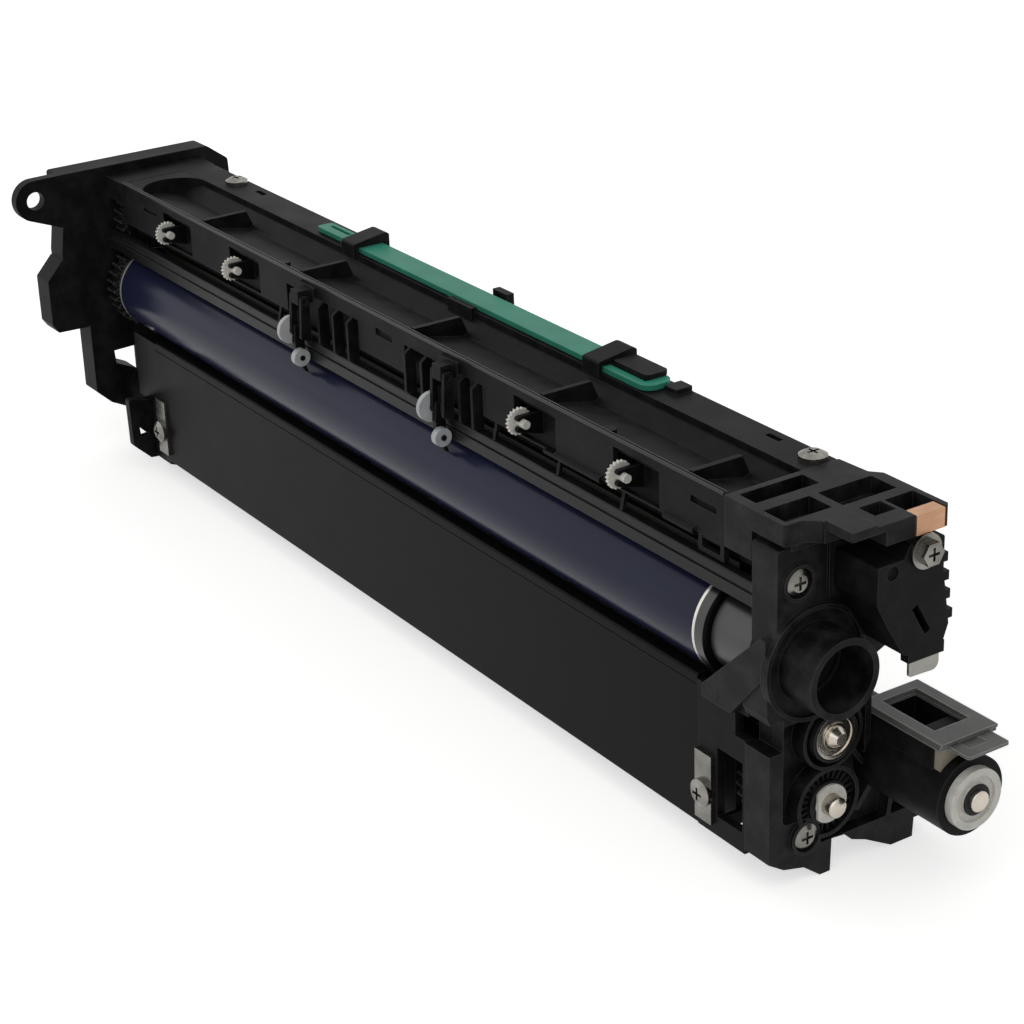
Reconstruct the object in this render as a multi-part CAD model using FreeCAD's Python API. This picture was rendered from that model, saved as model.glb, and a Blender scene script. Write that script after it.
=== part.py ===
"""Printer drum unit: photoconductor drum, cleaning section above it and developer section below it.

Millimetres. X runs along the drum and is positive out of the drive end, -Y is the side where the
paper passes the drum, Z is up. The origin is the middle of the mouth of the drive bore, on the
drum's axis.
"""
import FreeCAD
import Part
import math
import os

V = FreeCAD.Vector

# Clearances
spin_gap = 0.3
shaft_fit = 0.05
wall_gap = 0.4

# Drum
drum_length = 347.0
drum_radius = 15.0
drum_wall = 0.9
bore_mouth_to_drum = 43.5
drum_near = -bore_mouth_to_drum
drum_far = drum_near - drum_length
drum_middle = (drum_near + drum_far) / 2
plug_length = 12.0
hub_radius = 12.9
hub_groove = 4.6
drum_pin_radius = 3.0

# End plates
plate_gap_near = 20.5
plate_near_thick = 10.0
plate_near_in = drum_near + plate_gap_near
plate_near_out = plate_near_in + plate_near_thick
plate_gap_far = 10.5
plate_far_thick = 10.0
plate_far_in = drum_far - plate_gap_far
plate_far_out = plate_far_in - plate_far_thick
plate_skin = 3.0
drive_bore_radius = 9.5
drive_tube_wall = 1.9
journal_radius = 8.8
ear_y = -39.5
ear_z = 38.1
ear_radius = 7.6
ear_thick = 4.0
ear_hole_radius = 3.3
post_front = -12.0
post_top = 34.3
gusset_front = -15.7
gusset_thick = 2.4
well_depth = 4.0

# Cleaning section casing
casing_top = 42.0
casing_front = -11.0
casing_back = 27.0
casing_wall = 2.0
casing_back_low = 5.0
front_wall_low = 27.5
trough_low_y = 9.5
trough_low_z = 35.5
flange_front = 14.5
rib_thick = 1.6
rib_pitch = 69.2
first_rib = drum_near - 9.9
last_bay = 45.0
casing_far = drum_far + 1.5
rib_count = 1 + int((first_rib - casing_far - last_bay) / rib_pitch)
casing_seam = drum_near + 8.0
cap_out = 3.5
cap_back = 30.2
cap_low = 36.0
cap_wall_x = drum_near + 19.0
pocket_depth = 5.0
shelf_front = -1.8
shelf_thick = 2.0

# Waste auger, which lies in a round channel over the drum
waste_y = 1.4
waste_z = 26.0
waste_radius = 4.5
waste_shaft_radius = 1.9
waste_channel_radius = 5.4
flight_thick = 1.4
waste_pitch = 18.0

# Gears
gear_module = 1.0
gear_backlash = 0.24
drum_gear_teeth = 30
drum_gear_turn = 0.0
waste_gear_teeth = 22
gear_width_far = 6.0
gear_side_gap = 1.4
developer_gear_teeth = 16
front_gear_teeth = 24
transfer_gear_teeth = 25
gear_width_near = 10.0
gear_near_in = drum_near + 8.4
near_twist = 14.0

# Charging and cleaning
charge_radius = 6.0
charge_shaft_radius = 3.0
charge_angle = 40.0
charge_end = 6.0
cleaner_radius = 3.4
cleaner_shaft_radius = 1.5
cleaner_angle = 62.0
holder_thick = 5.0
blade_thick = 1.8
bracket_thick = 1.6
bracket_y = 9.9
bracket_top = 32.8
blade_edge_y = -0.6
blade_edge_z = 15.3
blade_slope = 0.22

# Developing
developer_gap = 0.45
developer_radius = 9.2
developer_wall = 1.0
developer_angle = -74.0
magnet_gap = 0.7
front_auger_angle = -93.7
rear_auger_angle = 15.5
mixing_radius = 8.4
mixing_shaft_radius = 3.0
mixing_pitch = 24.0
chamber_gap = 1.0
case_wall = 2.0
case_near = drum_near + 6.0
case_far = drum_far + 25.0
case_front = -12.0
case_low = -57.5
case_lip = -14.0
chamber_open = -26.0
lid_thick = 2.2
panel_thick = 2.0
panel_reach = 18.3
panel_step = -37.0
panel_top = -12.0
foot_low = -66.0
doctor_thick = 1.6
doctor_seat = -21.4
strip_thick = 1.2
strip_screw_x = (drum_near + 3.9, case_far + 0.7)
strip_screw_z = -46.0
race_wall = 1.0
bearing_outer_radius = 6.5
bearing_width = 5.0
bearing_face = plate_near_out + 2.0
bush_radius = 4.4

# Toner inlet
port_out = 16.0
port_block_out = 10.5
port_top = -22.2
window_x0 = -13.5
window_x1 = 7.0
window_y0 = 24.7
window_y1 = 36.6
frame_x0 = -17.0
frame_x1 = 14.0
frame_y0 = 20.8
frame_y1 = 40.4
frame_thick = 0.9
shutter_thick = 0.8
shutter_gap = 0.25
shutter_y0 = 23.4
shutter_y1 = 37.8
shutter_x1 = 21.4
port_roof = port_top + 2 * shutter_gap + shutter_thick
rear_spigot_radius = 7.0
flange_radius = 8.8
flange_thick = 2.4

# Star wheels, held in pockets of the front wall
pawl_middle = drum_middle + 5.25
pawl_spread = 85.5
pawl_offsets = (pawl_middle - pawl_spread / 2, pawl_middle + pawl_spread / 2)
star_far = drum_far + 40.0
star_near = drum_near - 36.0
star_offsets = (star_far, (star_far + pawl_offsets[0]) / 2 + 1.5,
                (star_near + pawl_offsets[1]) / 2 - 3.75,
                star_near)
star_y = -12.8
star_z = 33.2
star_radius = 4.2
star_thick = 1.2
star_teeth = 20
star_tooth = 0.7
star_axle_radius = 1.3
star_axle_in = 3.2
star_axle_out = 4.2
star_arm_gap = 1.1
star_arm_thick = 1.2
star_arm_back = -4.0
pocket_before = 5.0
pocket_after = 16.0
pocket_low = 28.0
pocket_high = 39.4

# Pick-off pawls: a lever with two cheeks, a guide disc on its far side and a roller below
pawl_pivot_y = -14.9
pawl_pivot_z = 36.4
pawl_front = -17.0
pawl_back = -13.2
pawl_low = 22.6
pawl_top = 38.0
pawl_width = 7.6
pawl_cheek = 1.2
pawl_roller_y = -15.5
pawl_roller_z = 16.6
pawl_roller_radius = 2.9
pawl_roller_thick = 2.4
pawl_pin_radius = 0.9
pawl_lug = 4.4
pawl_window_before = 12.0
pawl_window_after = 34.0
pawl_window_high = 37.0
pawl_cam_y = -15.9
pawl_cam_z = 25.1
pawl_cam_radius = 4.7

# Fins, struts and the latch under the front wall, by their distance from a pawl or the drum's end
fin_thick = 1.1
fin_front = -13.0
fins_after_pawl = (11.5, 21.0, 30.0)
fins_before_pawl = (-21.0, -11.5)
fins_behind_pawl = (9.5, 16.5)
strut_x = (pawl_offsets[0] - 17.5, pawl_offsets[1] + 26.0, star_near - 31.0, star_near - 0.5)
latch_x0 = drum_near - 3.1
latch_x1 = drum_near + 7.6
latch_low = 22.6

# Lift strap
strap_thick = 1.6
strap_width = 9.0
strap_y = 20.0
strap_x0 = drum_middle - 76.8
strap_x1 = drum_middle + 113.0
strap_play = 3.0
strap_neck_length = 17.8
strap_neck_width = 6.0
strap_end_length = 25.0
strap_end_width = 10.4
strap_end_wall = 2.9
strap_seat_gap = 0.3
bridge_x = (strap_x0 + 26.3, strap_x1 - 25.0)
bridge_length = 8.0
bridge_roof = 2.0
bridge_front = 13.2
bridge_back = 27.0
hook_head = 1.4

# Screws
shank_radius = 1.5
head_radius = 4.0
head_height = 2.2
tray_screw_x = (drum_far + 29.1, drum_near + 3.7)
tray_screw_y = 21.8
cover_screws = ((-5.3, 24.1), (-1.7, -52))
hex_screw_y = 22.3
hex_screw_z = 31.3
hex_washer_radius = 4.9


def about(y, z, distance, degrees):
    """Point at a distance and angle from (y, z), in the plane across the drum."""
    turn = math.radians(degrees)
    return y + distance * math.cos(turn), z + distance * math.sin(turn)


charge_reach = drum_radius + charge_radius + spin_gap
charge_y, charge_z = about(0, 0, charge_reach, charge_angle)
cleaner_reach = charge_radius + cleaner_radius + spin_gap
cleaner_y, cleaner_z = about(charge_y, charge_z, cleaner_reach, cleaner_angle)
developer_reach = drum_radius + developer_radius + developer_gap
developer_y, developer_z = about(0, 0, developer_reach, developer_angle)
front_reach = gear_module * (developer_gear_teeth + front_gear_teeth) / 2
front_y, front_z = about(developer_y, developer_z, front_reach, front_auger_angle)
rear_reach = gear_module * transfer_gear_teeth
rear_y, rear_z = about(front_y, front_z, rear_reach, rear_auger_angle)
chamber_radius = mixing_radius + chamber_gap
port_tube_outer = chamber_radius + case_wall
strap_floor = casing_top + strap_seat_gap


def box(x0, x1, y0, y1, z0, z1):
    """Block between two corners."""
    low = V(min(x0, x1), min(y0, y1), min(z0, z1))
    return Part.makeBox(abs(x1 - x0), abs(y1 - y0), abs(z1 - z0), low)


def rod(x0, x1, y, z, radius):
    """Round bar along X."""
    return Part.makeCylinder(radius, abs(x1 - x0), V(min(x0, x1), y, z), V(1, 0, 0))


def post(x, y, z0, z1, radius):
    """Round bar along Z."""
    return Part.makeCylinder(radius, abs(z1 - z0), V(x, y, min(z0, z1)), V(0, 0, 1))


def without(shape, *cutters):
    """Shape with every cutter taken away."""
    return shape.cut(list(cutters))


def ring(x0, x1, y, z, outer, inner):
    """Round tube along X."""
    return without(rod(x0, x1, y, z, outer), rod(min(x0, x1) - 1, max(x0, x1) + 1, y, z, inner))


def joined(first, *others):
    """One solid from pieces that touch or overlap."""
    return first.fuse(list(others)).removeSplitter()


def place(a, b, axis, level):
    """Point of a flat outline that is to be carried along one axis."""
    if axis == "x":
        return V(level, a, b)
    if axis == "y":
        return V(a, level, b)
    return V(a, b, level)


def outline(corners, axis, level):
    """Closed wire through corners (a, b) or (a, b, radius), where a radius rounds the corner."""
    flat = [V(c[0], c[1], 0) for c in corners]
    radii = [c[2] if len(c) > 2 else 0 for c in corners]
    count = len(flat)
    joints = []
    for i in range(count):
        here = flat[i]
        if radii[i] == 0:
            joints.append((here, None, here))
            continue
        back = (flat[i - 1] - here).normalize()
        ahead = (flat[(i + 1) % count] - here).normalize()
        half = back.getAngle(ahead) / 2
        run = radii[i] / math.tan(half)
        middle = (back + ahead).normalize()
        top = here + middle * (radii[i] / math.sin(half) - radii[i])
        joints.append((here + back * run, top, here + ahead * run))
    edges = []
    for i in range(count):
        start, top, end = [None if p is None else place(p.x, p.y, axis, level) for p in joints[i]]
        if top is not None:
            edges.append(Part.Arc(start, top, end).toShape())
        following = joints[(i + 1) % count][0]
        following = place(following.x, following.y, axis, level)
        if end.distanceToPoint(following) > 1e-6:
            edges.append(Part.makeLine(end, following))
    return Part.Wire(edges)


def prism(corners, axis, start, end):
    """Solid of one outline carried straight along an axis from start to end."""
    face = Part.Face(outline(corners, axis, start))
    return face.extrude(place(0, 0, axis, end - start))


def gear_outline(teeth, x, y, z, turn):
    """Involute tooth outline, with a tooth's middle at the angle turn (radians)."""
    pitch_radius = gear_module * teeth / 2
    base = pitch_radius * math.cos(math.radians(20))
    tip = pitch_radius + 0.9 * gear_module
    root = pitch_radius - 1.2 * gear_module
    half_tooth = math.pi / (2 * teeth) - gear_backlash / (2 * pitch_radius)
    involute = math.tan(math.radians(20)) - math.radians(20)
    flank = []
    for radius in (max(root, base * 1.001), pitch_radius, (pitch_radius + tip) / 2, tip):
        roll = math.acos(base / radius)
        flank.append((radius, half_tooth + involute - (math.tan(roll) - roll)))
    if root < flank[0][0]:
        flank.insert(0, (root, flank[0][1]))
    points = []
    for tooth in range(teeth):
        middle = turn + 2 * math.pi * tooth / teeth
        side = [(r, middle - a) for r, a in flank] + [(r, middle + a) for r, a in reversed(flank)]
        points += [V(x, y + r * math.cos(a), z + r * math.sin(a)) for r, a in side]
    return Part.makePolygon(points + [points[0]])


def gear(teeth, x0, x1, y, z, turn, bore, twist=0.0):
    """Gear along X whose teeth turn by twist (degrees) over its width."""
    start = gear_outline(teeth, x0, y, z, turn)
    if twist == 0.0:
        body = Part.Face(start).extrude(V(x1 - x0, 0, 0))
    else:
        end = gear_outline(teeth, x1, y, z, turn + math.radians(twist))
        body = Part.makeLoft([start, end], True, True)
    return without(body, rod(x0 - 1, x1 + 1, y, z, bore))


def meshed_turn(turn_a, teeth_a, teeth_b, direction):
    """Turn of gear b that puts a gap of it on gear a's tooth, b lying in a direction from a."""
    step = 2 * math.pi / teeth_a
    ahead = (turn_a - direction) % step
    return direction + math.pi - ahead * teeth_a / teeth_b + math.pi / teeth_b


def auger(x0, x1, flight_x0, flight_x1, y, z, shaft, outer, pitch):
    """Conveyor screw in flat facets: each helix corner k lies at the angle 2 pi k / steps.

    A and D are the blade's two foot lines on the shaft, B and C its two edges at the outer radius.
    """
    steps = 12
    turns = int((flight_x1 - flight_x0 - flight_thick) / pitch)
    last = steps * turns

    def corner(k, dx, radius):
        angle = 2 * math.pi * k / steps
        x = flight_x0 + pitch * k / steps + dx
        return V(x, y + radius * math.cos(angle), z + radius * math.sin(angle))

    def rim(k, x):
        angle = 2 * math.pi * k / steps
        return V(x, y + shaft * math.cos(angle), z + shaft * math.sin(angle))

    a = [corner(k, 0, shaft) for k in range(last + 1)]
    b = [corner(k, 0, outer) for k in range(last + 1)]
    c = [corner(k, flight_thick, outer) for k in range(last + 1)]
    d = [corner(k, flight_thick, shaft) for k in range(last + 1)]
    loops = [[a[0], b[0], c[0], d[0]], [a[last], b[last], c[last], d[last]]]
    for k in range(last):
        loops += [[a[k], a[k + 1], b[k]], [b[k], a[k + 1], b[k + 1]]]
        loops += [[d[k], d[k + 1], c[k]], [c[k], d[k + 1], c[k + 1]]]
        loops += [[b[k], b[k + 1], c[k + 1], c[k]]]
    for k in range(last - steps):
        loops += [[d[k], d[k + 1], a[k + 1 + steps], a[k + steps]]]
    for k in range(1, steps):
        loops += [[rim(k - 1, x0), rim(k, x0), a[k], a[k - 1]]]
        m = last - steps + k
        loops += [[d[m], d[m + 1], rim(k + 1, x1), rim(k, x1)]]
    loops += [[rim(steps - 1, x0), rim(0, x0), a[0], d[0], a[steps], a[steps - 1]]]
    m = last - steps
    loops += [[d[m], d[m + 1], rim(1, x1), rim(0, x1), d[last], a[last]]]
    loops += [[rim(k, x0) for k in range(steps)], [rim(k, x1) for k in range(steps)]]
    faces = [Part.Face(Part.makePolygon(points + [points[0]])) for points in loops]
    shell = Part.Shell(faces)
    shell.sewShape()
    return Part.Solid(shell)


def drum_tube():
    return ring(drum_far, drum_near, 0, 0, drum_radius, drum_radius - drum_wall)


def drum_flange_near():
    """Hub in the drive end, with a three-lobed socket for the printer's shaft."""
    plug = rod(drum_near - plug_length, drum_near, 0, 0, drum_radius - drum_wall - shaft_fit)
    rim = rod(drum_near, drum_near + 3.5, 0, 0, drum_radius)
    groove = rod(drum_near + 3.5, drum_near + hub_groove, 0, 0, hub_radius - 1.5)
    hub = rod(drum_near + hub_groove, plate_near_in - wall_gap, 0, 0, hub_radius)
    journal = rod(plate_near_in - wall_gap, plate_near_in + 9, 0, 0, journal_radius - shaft_fit)
    body = joined(plug, rim, groove, hub, journal)
    socket = rod(plate_near_in - 3, plate_near_in + 10, 0, 0, 4.2)
    for turn in (90, 210, 330):
        y, z = about(0, 0, 3.8, turn)
        socket = socket.fuse(rod(plate_near_in - 3, plate_near_in + 10, y, z, 2.0))
    hollow = rod(drum_near - plug_length - 1, drum_near + 8, 0, 0, drum_radius - 4)
    return without(body, socket, hollow)


def drum_flange_far():
    """Hub in the other end, cut with the gear that turns the waste auger."""
    plug = rod(drum_far, drum_far + plug_length, 0, 0, drum_radius - drum_wall - shaft_fit)
    gear_in = plate_far_in + gear_side_gap + gear_width_far
    rim = rod(gear_in, drum_far, 0, 0, drum_radius - 1.3)
    teeth = gear(drum_gear_teeth, gear_in - gear_width_far, gear_in, 0, 0, drum_gear_turn,
                 drum_pin_radius)
    body = joined(plug, rim, teeth)
    hollow = ring(drum_far + 2, drum_far + plug_length + 1, 0, 0, drum_radius - 4, drum_pin_radius + 2.5)
    bore = rod(plate_far_in, drum_far + plug_length + 1, 0, 0, drum_pin_radius + shaft_fit)
    return without(body, hollow, bore)


def drum_far_pin():
    pin = rod(plate_far_out + 1.5, drum_far + plug_length - 1, 0, 0, drum_pin_radius)
    head = rod(plate_far_out - 1.2, plate_far_out + 1.5, 0, 0, drum_pin_radius + 2)
    return joined(pin, head)


def waste_auger():
    near = cap_wall_x + 4
    far = plate_far_in - 5
    flight_far = plate_far_in + gear_side_gap + gear_width_far + 4
    screw = auger(flight_far - 2, cap_wall_x - 4, flight_far, cap_wall_x - 6, waste_y, waste_z,
                  waste_shaft_radius, waste_radius, waste_pitch)
    end = rod(cap_wall_x - 4, near, waste_y, waste_z, waste_shaft_radius)
    other = rod(far, flight_far - 2, waste_y, waste_z, waste_shaft_radius)
    return screw.fuse([end, other])


def waste_gear():
    start = plate_far_in + gear_side_gap
    turn = meshed_turn(drum_gear_turn, drum_gear_teeth, waste_gear_teeth,
                       math.atan2(waste_z, waste_y))
    return gear(waste_gear_teeth, start, start + gear_width_far, waste_y, waste_z, turn,
                waste_shaft_radius)


def casing_profile():
    """Section of the casing: front wall, sloping trough, back flange and back wall."""
    roof = casing_top - casing_wall
    return [(casing_front, front_wall_low), (casing_front, casing_top, 0.6),
            (casing_front + 1.8, casing_top, 0.5), (casing_front + 1.8, 39.4),
            (trough_low_y, trough_low_z, 1.5), (flange_front, casing_top - 2.5, 1.0),
            (flange_front, casing_top), (casing_back, casing_top, 0.8),
            (casing_back, casing_back_low, 0.8), (casing_back - casing_wall, casing_back_low, 0.8),
            (casing_back - casing_wall, roof), (flange_front + 2, roof),
            (flange_front + 1.8, 36.6), (trough_low_y + 1, trough_low_z - 2.2),
            (casing_front + 1.8, 37.2), (casing_front + 1.8, front_wall_low)]


def channel_profile():
    """Section of the block under the trough that holds the waste channel."""
    return [(-4.4, 37.6), (-5.8, 34), (-5.8, 21.8, 0.8), (-3.4, 21.8), (3.4, 18.9), (7.4, 20.0),
            (bracket_y, 21.2), (bracket_y, 35.2), (7, 34.8)]


def casing_length(x0, x1):
    shell = prism(casing_profile(), "x", x0, x1)
    channel = prism(channel_profile(), "x", x0, x1)
    return shell.fuse(channel)


def channel_hollow(x0, x1):
    """The round channel and the mouth through which scraped toner falls into it."""
    mouth = prism([(-6.5, 17), (-6.5, 22.4), (-2.0, 23.5), (1.0, 20.6), (1.4, 17)], "x", x0 + 6, x1 - 6)
    return rod(x0, x1, waste_y, waste_z, waste_channel_radius).fuse(mouth)


def star_arms(x):
    """Two thin plates that reach out of the casing and snap over one star wheel's stub axles."""
    profile = [(star_arm_back, star_z + 2.4), (star_y - 2.2, star_z + 2.4, 0.7),
               (star_y - 2.2, star_z + 0.9, 0.7),
               (star_y, star_z + 0.9), (star_y, star_z - 0.9), (star_y - 2.2, star_z - 0.9, 0.7),
               (star_y - 2.2, star_z - 2.4, 0.7), (star_arm_back, star_z - 5.4)]
    bore = rod(x - 9, x + 9, star_y, star_z, star_axle_radius + shaft_fit)
    inner = star_thick / 2 + star_arm_gap
    return [without(prism(profile, "x", start, start + star_arm_thick), bore)
            for start in (x - inner - star_arm_thick, x + inner - 0.5)]


def strap_bridge(x):
    """Fixed loop over the strap, with its roof rising towards the back."""
    x0 = x - bridge_length / 2
    x1 = x + bridge_length / 2
    high = strap_floor + strap_thick + strap_seat_gap
    outside = prism([(bridge_front, casing_top - 1), (bridge_front, high + bridge_roof - 0.6, 0.8),
                     (bridge_back - 1.6, high + bridge_roof + 1.2, 0.8),
                     (bridge_back, high + bridge_roof + 0.6, 0.8),
                     (bridge_back, casing_top - 1)], "x", x0, x1)
    half = strap_end_width / 2 + strap_seat_gap
    return without(outside, box(x0 - 1, x1 + 1, strap_y - half, strap_y + half, casing_top, high))


def wall_fin(x):
    """Thin upright fin that stands out of the front wall."""
    profile = [(fin_front, 23.0, 0.6), (fin_front, 35.4, 0.6), (casing_front + 1.0, 37.6),
               (casing_front + 1.8, 37.6),
               (casing_front + 1.8, 22.4), (fin_front + 0.6, 22.4)]
    return prism(profile, "x", x - fin_thick / 2, x + fin_thick / 2)


def wall_strut(x):
    """Slanting strut from the front wall's lower edge down to the rail."""
    profile = [(casing_front + 1.6, front_wall_low + 0.6), (casing_front + 0.4, front_wall_low + 0.6),
               (post_front + 0.1, 22.3), (post_front + 1.3, 22.3)]
    return prism(profile, "x", x - fin_thick / 2, x + fin_thick / 2)


def latch():
    """Loop that hangs from the front wall near the drive end, with a sloping tongue in it."""
    loop = box(latch_x0, latch_x1, casing_front, casing_front + 1.8, latch_low, front_wall_low + 1)
    window = box(latch_x0 + 1.4, latch_x1 - 1.4, casing_front - 1, casing_front + 3, latch_low + 1.4,
                 front_wall_low + 0.2)
    tongue = prism([(casing_front + 0.2, 27.9), (casing_front + 0.2, 26.7), (casing_front + 3.0, 24.2),
                    (casing_front + 3.0, 25.6)], "x", latch_x0 + 1.4, latch_x1 - 1.4)
    return [without(loop, window), tongue]


def pawl_windows():
    """The two openings of the front wall round the pawls and their fins."""
    first, second = pawl_offsets
    return ((first - pawl_window_before, first + pawl_window_after),
            (second + fins_before_pawl[0] - 3.0, second + fins_behind_pawl[1] + 3.0))


def upper_housing():
    """Long moulding over the drum: a ribbed trough, its back flange and the waste channel."""
    body = casing_length(casing_far, casing_seam)
    extras = [box(plate_far_in, casing_far, casing_front, casing_back, 34.4, casing_top)]
    rib_profile = [(casing_front + 2.8, casing_top), (8.5, casing_top),
                   (trough_low_y + 1.2, trough_low_z + 1.5),
                   (trough_low_y, trough_low_z - 1), (casing_front + 2.8, 38.4)]
    for k in range(rib_count):
        x = first_rib - k * rib_pitch
        extras.append(prism(rib_profile, "x", x - rib_thick / 2, x + rib_thick / 2))
    extras.append(prism([(-9.6, 33.4), (-9.6, 39.4), (-6, 38), (-6, 30)], "x", drum_far + 16.5,
                        drum_far + 30.5))
    extras.append(box(drum_middle + 11.0, drum_middle + 24.5, 13.2, 15.2, casing_top - 3,
                      casing_top + 1.2))
    extras.append(box(drum_middle + 17.4, drum_middle + 25.4, casing_back - 1, casing_back + 1.6,
                      casing_top - 5, casing_top + 3.0))
    extras.append(box(strap_x1 + 0.8, strap_x1 + 6.0, 20.7, 26.4, casing_top - 1, casing_top + 1.6))
    for x in (drum_middle - 60.0, drum_near - 49.9):
        extras.append(post(x, -5.6, 37.5, 40.4, 2.0))
    extras.append(box(plate_far_in, casing_far + 1, -9.0, 12.0, 30.0, 34.6))
    extras.append(rod(star_near - 37.5, star_near - 10.5, casing_front + 0.2, front_wall_low, 1.3))
    extras.append(rod(star_near + 18.5, latch_x0 - 1.5, casing_front + 0.2, front_wall_low, 1.3))
    extras += [strap_bridge(x) for x in bridge_x]
    extras += [wall_strut(x) for x in strut_x]
    extras += latch()
    body = body.fuse(extras)
    cutters = [channel_hollow(casing_far - 13, casing_seam + 1)]
    gear_room = plate_far_in + gear_side_gap + gear_width_far + 1.2
    cutters.append(rod(plate_far_in - 1, gear_room, waste_y, waste_z, waste_gear_teeth / 2 + 1.5))
    for wheel in star_offsets:
        cutters.append(box(wheel - pocket_before, wheel + pocket_after, casing_front - 1,
                           casing_front + 2.2, pocket_low, pocket_high))
    for x0, x1 in pawl_windows():
        cutters.append(box(x0, x1, casing_front - 1, casing_front + 2.2, front_wall_low - 1,
                           pawl_window_high))
    for x in pawl_offsets:
        cutters.append(box(x + 3.6, x + 5.0, casing_front - 1, casing_front + 1.2, 38.6, 41.0))
    for x0, x1, z0, z1 in ((drum_far + 18.7, drum_far + 29.6, 36, 37.2),
                           (drum_middle + 7, drum_middle + 17, 35.4, 37.8),
                           (drum_near - 6.5, drum_near + 4.7, 35.2, 37.2)):
        cutters.append(box(x0, x1, casing_front - 1, casing_front + 1.0, z0, z1))
    cutters.append(rod(drum_far + 8.5, drum_far + 31.5, 2.5, casing_top + 3.5, 7.6))
    for x in (drum_far + 45.2, drum_near - 13.9):
        cutters.append(box(x - 3, x + 3, 22.0, 24.0, casing_top - 3, casing_top + 1))
    for x in tray_screw_x:
        cutters.append(post(x, tray_screw_y, casing_top - 3, casing_top + 1, shank_radius))
    cutters.append(hook_stem())
    body = body.cut(cutters)
    fins = [wall_fin(pawl_offsets[0] + k) for k in fins_after_pawl]
    fins += [wall_fin(pawl_offsets[1] + k) for k in fins_before_pawl + fins_behind_pawl]
    for wheel in star_offsets:
        fins += star_arms(wheel)
    wheel_room = [rod(w - star_thick / 2 - 0.4, w + star_thick / 2 + 0.4, star_y, star_z,
                      star_radius + 0.5)
                  for w in star_offsets]
    return body.cut(wheel_room).fuse(fins).removeSplitter()


def guide_rail():
    """Bar under the casing along which the paper slides."""
    profile = [(post_front, 22.0, 0.5), (post_front, 19.6), (post_front + 0.7, 19.3),
               (post_front + 0.7, 18.7),
               (post_front, 18.4), (post_front, 14.8, 0.5), (-9.0, 14.8, 0.5), (-9.0, 22.0, 0.5)]
    bar = prism(profile, "x", plate_far_in, plate_near_in)
    gear_room = rod(plate_far_in - 1, plate_far_in + gear_side_gap + gear_width_far + 1.2, waste_y,
                    waste_z,
                    waste_gear_teeth / 2 + 1.5)
    return without(bar, gear_room)


def far_end_plate():
    """Plate at the blind end, with the locating ear and the lower hook."""
    plate = prism([(-30, 45.8, 1), (30.4, 45.6, 3), (38.7, 39.4, 2), (39.1, 30), (41, 0), (45, -20),
                   (47, -37), (42, -54, 3), (8, -60, 3), (-2.5, -57.5, 3), (-10, -49.5, 2),
                   (-18.2, -45.2, 1),
                   (-23.7, -39.8, 1), (-23.7, -12.8), (-30.3, -12.8), (-31.6, 16.0, 2), (-30.1, 26.1, 2)],
                  "x", plate_far_out, plate_far_in)
    ear = rod(plate_far_in - ear_thick, plate_far_in, ear_y, ear_z, ear_radius)
    neck = prism([(ear_y - 3.4, ear_z - 6.8), (-30.1, 26.1), (-28, 26.1), (-28, 45.8),
                  (ear_y + 1.0, 45.7)], "x",
                 plate_far_in - ear_thick, plate_far_in)
    hook = prism([(-38.3, 7.0, 1), (-38.3, -10.0, 1), (-36.2, -13.2, 1), (-23.9, -13.6), (-23.9, 14.5),
                  (-31.9, 14.0, 1)],
                 "x", plate_far_out, plate_far_in)
    body = plate.fuse([ear, neck, hook])
    skin = plate_far_in - plate_skin
    cutters = [rod(plate_far_out - 2, plate_far_in + 1, ear_y, ear_z, ear_hole_radius)]
    cutters.append(prism([(-15, -25.2), (-2.5, -24.8), (-2.5, -38.5), (-6.5, -34.3), (-14.6, -30.2)], "x",
                         plate_far_out - 2, plate_far_in + 1))
    for y0, y1, z0, z1 in ((-27, -17, 29, 42.5), (-13, 27, 34.5, 42.5), (10, 33, 12, 31),
                           (-28, -18, -9, 12),
                           (17.5, 38, -20, 9), (-10, 14, -55.5, -48), (18, 38, -50, -41)):
        cutters.append(box(plate_far_out - 1, skin, y0, y1, z0, z1))
    boss = rod(skin, plate_far_out - 1, -7.9, 27.5, 8.6)
    pits = [rod(plate_far_out - 1, skin, -7.9, 27.5, 6.6)]
    body = body.cut(cutters).fuse(boss).cut(pits)
    bores = [rod(plate_far_out - 3, plate_far_in + 1, 0, 0, drum_pin_radius)]
    bores.append(rod(plate_far_out - 3, plate_far_out + 1.5, 0, 0, drum_pin_radius + 2.4))
    bores.append(rod(plate_far_in - 5.3, plate_far_in + 1, waste_y, waste_z,
                     waste_shaft_radius + shaft_fit))
    for y, z in ((front_y, front_z), (rear_y, rear_z)):
        bores.append(rod(plate_far_in - 5.3, plate_far_in + 1, y, z, mixing_shaft_radius + shaft_fit))
    return body.cut(bores).removeSplitter()


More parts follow.
